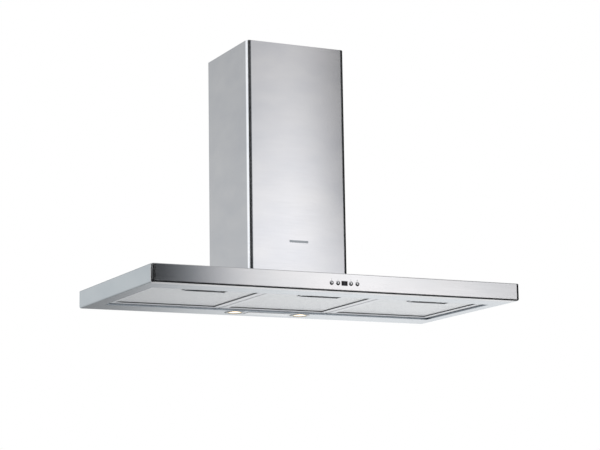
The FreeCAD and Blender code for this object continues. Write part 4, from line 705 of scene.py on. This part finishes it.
def world_light():
    """Pale background, and for reflections a studio: bright panels with dark gaps that outline the bends."""
    world = bpy.data.worlds.new("studio")
    bpy.context.scene.world = world
    world.use_nodes = True
    tree = world.node_tree
    tree.nodes.clear()
    way = add(tree, "SeparateXYZ", {0: add(tree, "TexCoord").outputs["Generated"]}).outputs
    ahead = add(tree, "Math", {0: way[1], 1: -1.0}, operation="MULTIPLY").outputs[0]
    turn = add(tree, "Math", {0: way[0], 1: ahead}, operation="ARCTAN2").outputs[0]
    compass = add(tree, "MapRange", {0: turn, 1: -math.pi, 2: math.pi}).outputs[0]
    rise = add(tree, "Math", {0: way[2]}, operation="ARCSINE").outputs[0]
    height = add(tree, "MapRange", {0: rise, 1: -math.pi / 2, 2: math.pi / 2}).outputs[0]
    around = set_stops(add(tree, "ValToRGB", {0: compass}), AROUND, -180, 180)
    soft = set_stops(add(tree, "ValToRGB", {0: compass}), AROUND_SOFT, -180, 180)
    gaps = set_stops(add(tree, "ValToRGB", {0: height}), GAP_SHARE, -90, 90)
    level = set_stops(add(tree, "ValToRGB", {0: height}), UPWARDS, -90, 90)
    seen = add(tree, "Mix", {0: gaps, 6: soft, 7: around}, data_type="RGBA").outputs[2]
    seen = add(tree, "Mix", {0: 1.0, 6: seen, 7: level}, data_type="RGBA", blend_type="MULTIPLY").outputs[2]
    ray = add(tree, "LightPath").outputs
    mirrored = add(tree, "Background", {"Color": seen, "Strength": 1.0}).outputs[0]
    ambient = add(tree, "Background", {"Color": linear("#f4f6f8"), "Strength": 0.8}).outputs[0]
    paper = add(tree, "Background", {"Color": linear("#ffffff"), "Strength": 1.0}).outputs[0]
    lit = add(tree, "MixShader", {0: ray["Is Glossy Ray"], 1: ambient, 2: mirrored}).outputs[0]
    out = tree.nodes.new("ShaderNodeOutputWorld")
    add(tree, "MixShader", {0: ray["Is Camera Ray"], 1: lit, 2: paper}, out.inputs[0])


def stage_plane(name, corners, material):
    """Flat stage card from four corners."""
    mesh = bpy.data.meshes.new(name)
    mesh.from_pydata(corners, [], [(0, 1, 2, 3)])
    mesh.materials.append(material)
    card = bpy.data.objects.new(name, mesh)
    bpy.context.collection.objects.link(card)
    return card


FLOOR_LEVEL = -1.85  # the hood hangs about 1.65 m above the floor
FLOOR_REACH = 14


def floor():
    """Pale matt floor, seen only from above, so that it never hides the underside."""
    glow = {"Emission Color": linear("#ffffff"), "Emission Strength": 0.12}
    material, tree, shader = surface("floor_pale", "#f2f3f4", 0.0, 0.8, glow)
    grained(tree, shader, (400, 400, 400), 0.75, 0.85)
    nothing = add(tree, "BsdfTransparent").outputs[0]
    below = add(tree, "NewGeometry").outputs["Backfacing"]
    out = tree.nodes["Material Output"]
    add(tree, "MixShader", {0: below, 1: shader.outputs[0], 2: nothing}, out.inputs[0])
    signs = ((-1, -1), (1, -1), (1, 1), (-1, 1))
    corners = [(x * FLOOR_REACH, y * FLOOR_REACH, FLOOR_LEVEL) for x, y in signs]
    stage_plane("floor", corners, material).visible_glossy = False


def reflector(name, corners, material):
    """Card that only shows in the metal."""
    card = stage_plane(name, corners, material)
    for ray in ("camera", "diffuse", "shadow", "transmission"):
        setattr(card, "visible_" + ray, False)


def dark_cards():
    """Black cards below the front edge and beside the left bend: they outline the folds."""
    material = surface("card_black", "#030303", 0.0, 0.9)[0]
    low, high = CAD_BOX
    z = low[2] - 0.09
    left, right, front, rear = low[0] - 0.1, high[0] + 1.2, low[1] - 0.35, low[1] + 0.12
    corners = [(left, front, z), (right, front, z), (right, rear, z), (left, rear, z)]
    reflector("card_front", corners, material)
    x = low[0] - 0.35
    front, rear, bottom, top = low[1] - 0.9, low[1] + 0.3, z - 0.5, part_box("canopy_shell")[1][2] + 0.10
    corners = [(x, front, bottom), (x, rear, bottom), (x, rear, top), (x, front, top)]
    reflector("card_bend", corners, material)


# light panel in front to the right: brightness along it from left to right, in metres from the hood's middle
PANEL_Y = -1.9
PANEL_SPAN = (-0.08, 1.6)
PANEL_HEIGHTS = (-1.2, 2.2)
PANEL_LEVELS = ((-0.08, 0.0), (0.02, 0.13), (0.12, 0.46), (0.24, 0.95), (0.36, 1.24), (0.52, 1.35),
                (0.8, 1.47), (1.0, 1.57), (1.2, 1.5), (1.36, 1.3), (1.46, 1.25), (1.52, 1.8), (1.6, 0.0))
# its dim end is bluish and its bright part warm; FULL_LEVEL and more is wholly warm
PANEL_TINT_DIM = np.array((0.90, 0.965, 1.06))
PANEL_TINT_FULL = np.array((1.0, 0.972, 0.967))
FULL_LEVEL = 1.1
# what is left of the panel's light above the height of the canopy, along the same line
PANEL_ABOVE = ((-0.08, 1.0), (0.5, 1.0), (0.64, 1.12), (0.78, 1.26), (0.88, 0.92), (0.98, 0.38), (1.1, 0.25),
               (1.6, 0.25))


def panel_colour(level):
    """Colour of the panel at a brightness, halved, since a ramp holds little more than 1."""
    full = min(level / FULL_LEVEL, 1.0)
    return tuple(level / 2 * (full * PANEL_TINT_FULL + (1 - full) * PANEL_TINT_DIM)) + (1.0,)


def light_panel():
    """Soft light panel, brightest low down: it grades the fascia sideways and the chimney upwards."""
    material = bpy.data.materials.new("panel_light")
    material.use_nodes = True
    tree = material.node_tree
    tree.nodes.clear()
    spot = add(tree, "SeparateXYZ", {0: add(tree, "TexCoord").outputs["Object"]}).outputs
    left, right = PANEL_SPAN
    place = add(tree, "MapRange", {0: spot[0], 1: left, 2: right}).outputs[0]
    colours = [(x, panel_colour(v)) for x, v in PANEL_LEVELS]
    shares = [(x, v / 2) for x, v in PANEL_ABOVE]
    along = set_stops(add(tree, "ValToRGB", {0: place}), colours, left, right)
    shaped = set_stops(add(tree, "ValToRGB", {0: place}), shares, left, right)
    above = add(tree, "MapRange", {0: spot[2], 1: 0.08, 2: 0.34}, interpolation_type="SMOOTHSTEP").outputs[0]
    kept = add(tree, "Mix", {0: above, 6: (0.5, 0.5, 0.5, 1.0), 7: shaped}, data_type="RGBA").outputs[2]
    fade = add(tree, "MapRange", {0: spot[2], 1: 0.25, 2: 1.15, 3: 1.0, 4: 0.42}).outputs[0]
    level = add(tree, "Math", {0: fade, 1: kept}, operation="MULTIPLY").outputs[0]
    # four times, because both ramps are halved
    strength = add(tree, "Math", {0: level, 1: 4.0}, operation="MULTIPLY").outputs[0]
    out = tree.nodes.new("ShaderNodeOutputMaterial")
    add(tree, "Emission", {"Color": along, "Strength": strength}, out.inputs[0])
    bottom, top = PANEL_HEIGHTS
    corners = [(left, bottom), (right, bottom), (right, top), (left, top)]
    reflector("panel", [(x, PANEL_Y, z) for x, z in corners], material)


KEY_FROM, KEY_AT = Vector((-2.2, -3.2, 2.4)), Vector((0, -0.3, 0.1))


def key_light():
    """Large soft lamp from the front left for the matt pieces."""
    data = bpy.data.lights.new("key", "AREA")
    data.energy = 60
    data.size = 2.5
    lamp = bpy.data.objects.new("key", data)
    lamp.location = KEY_FROM
    lamp.rotation_euler = (KEY_AT - KEY_FROM).to_track_quat("-Z", "Y").to_euler()
    lamp.visible_glossy = False
    bpy.context.collection.objects.link(lamp)


# viewpoint in metres: about 1 m below the hood's fixings, left of its middle, looking slightly up
VIEW_FROM = Vector((-2.529, -5.496, -0.967))
VIEW_YAW, VIEW_PITCH, VIEW_ROLL = (math.radians(a) for a in (26.0, 10.01, -0.9))
LENS_MM = 114.9


def camera():
    """Long lens at the viewpoint, turned by yaw, pitch and a slight roll."""
    ahead = Vector((math.sin(VIEW_YAW) * math.cos(VIEW_PITCH), math.cos(VIEW_YAW) * math.cos(VIEW_PITCH),
                    math.sin(VIEW_PITCH)))
    level = Vector((math.cos(VIEW_YAW), -math.sin(VIEW_YAW), 0))
    upward = level.cross(ahead)
    right = level * math.cos(VIEW_ROLL) + upward * math.sin(VIEW_ROLL)
    up = upward * math.cos(VIEW_ROLL) - level * math.sin(VIEW_ROLL)
    data = bpy.data.cameras.new("camera")
    data.lens = LENS_MM
    data.clip_end = 100
    eye = bpy.data.objects.new("camera", data)
    turn = Matrix((right, up, -ahead)).transposed().to_4x4()
    eye.matrix_world = Matrix.Translation(VIEW_FROM) @ turn
    bpy.context.collection.objects.link(eye)
    bpy.context.scene.camera = eye
    bpy.context.scene.view_settings.view_transform = "Standard"


finish_cad_nodes()
button_caps()
lamp_pieces()
latch_coils()
mesh_panels()
control_marks()
plain_plate()
world_light()
floor()
dark_cards()
light_panel()
key_light()
camera()
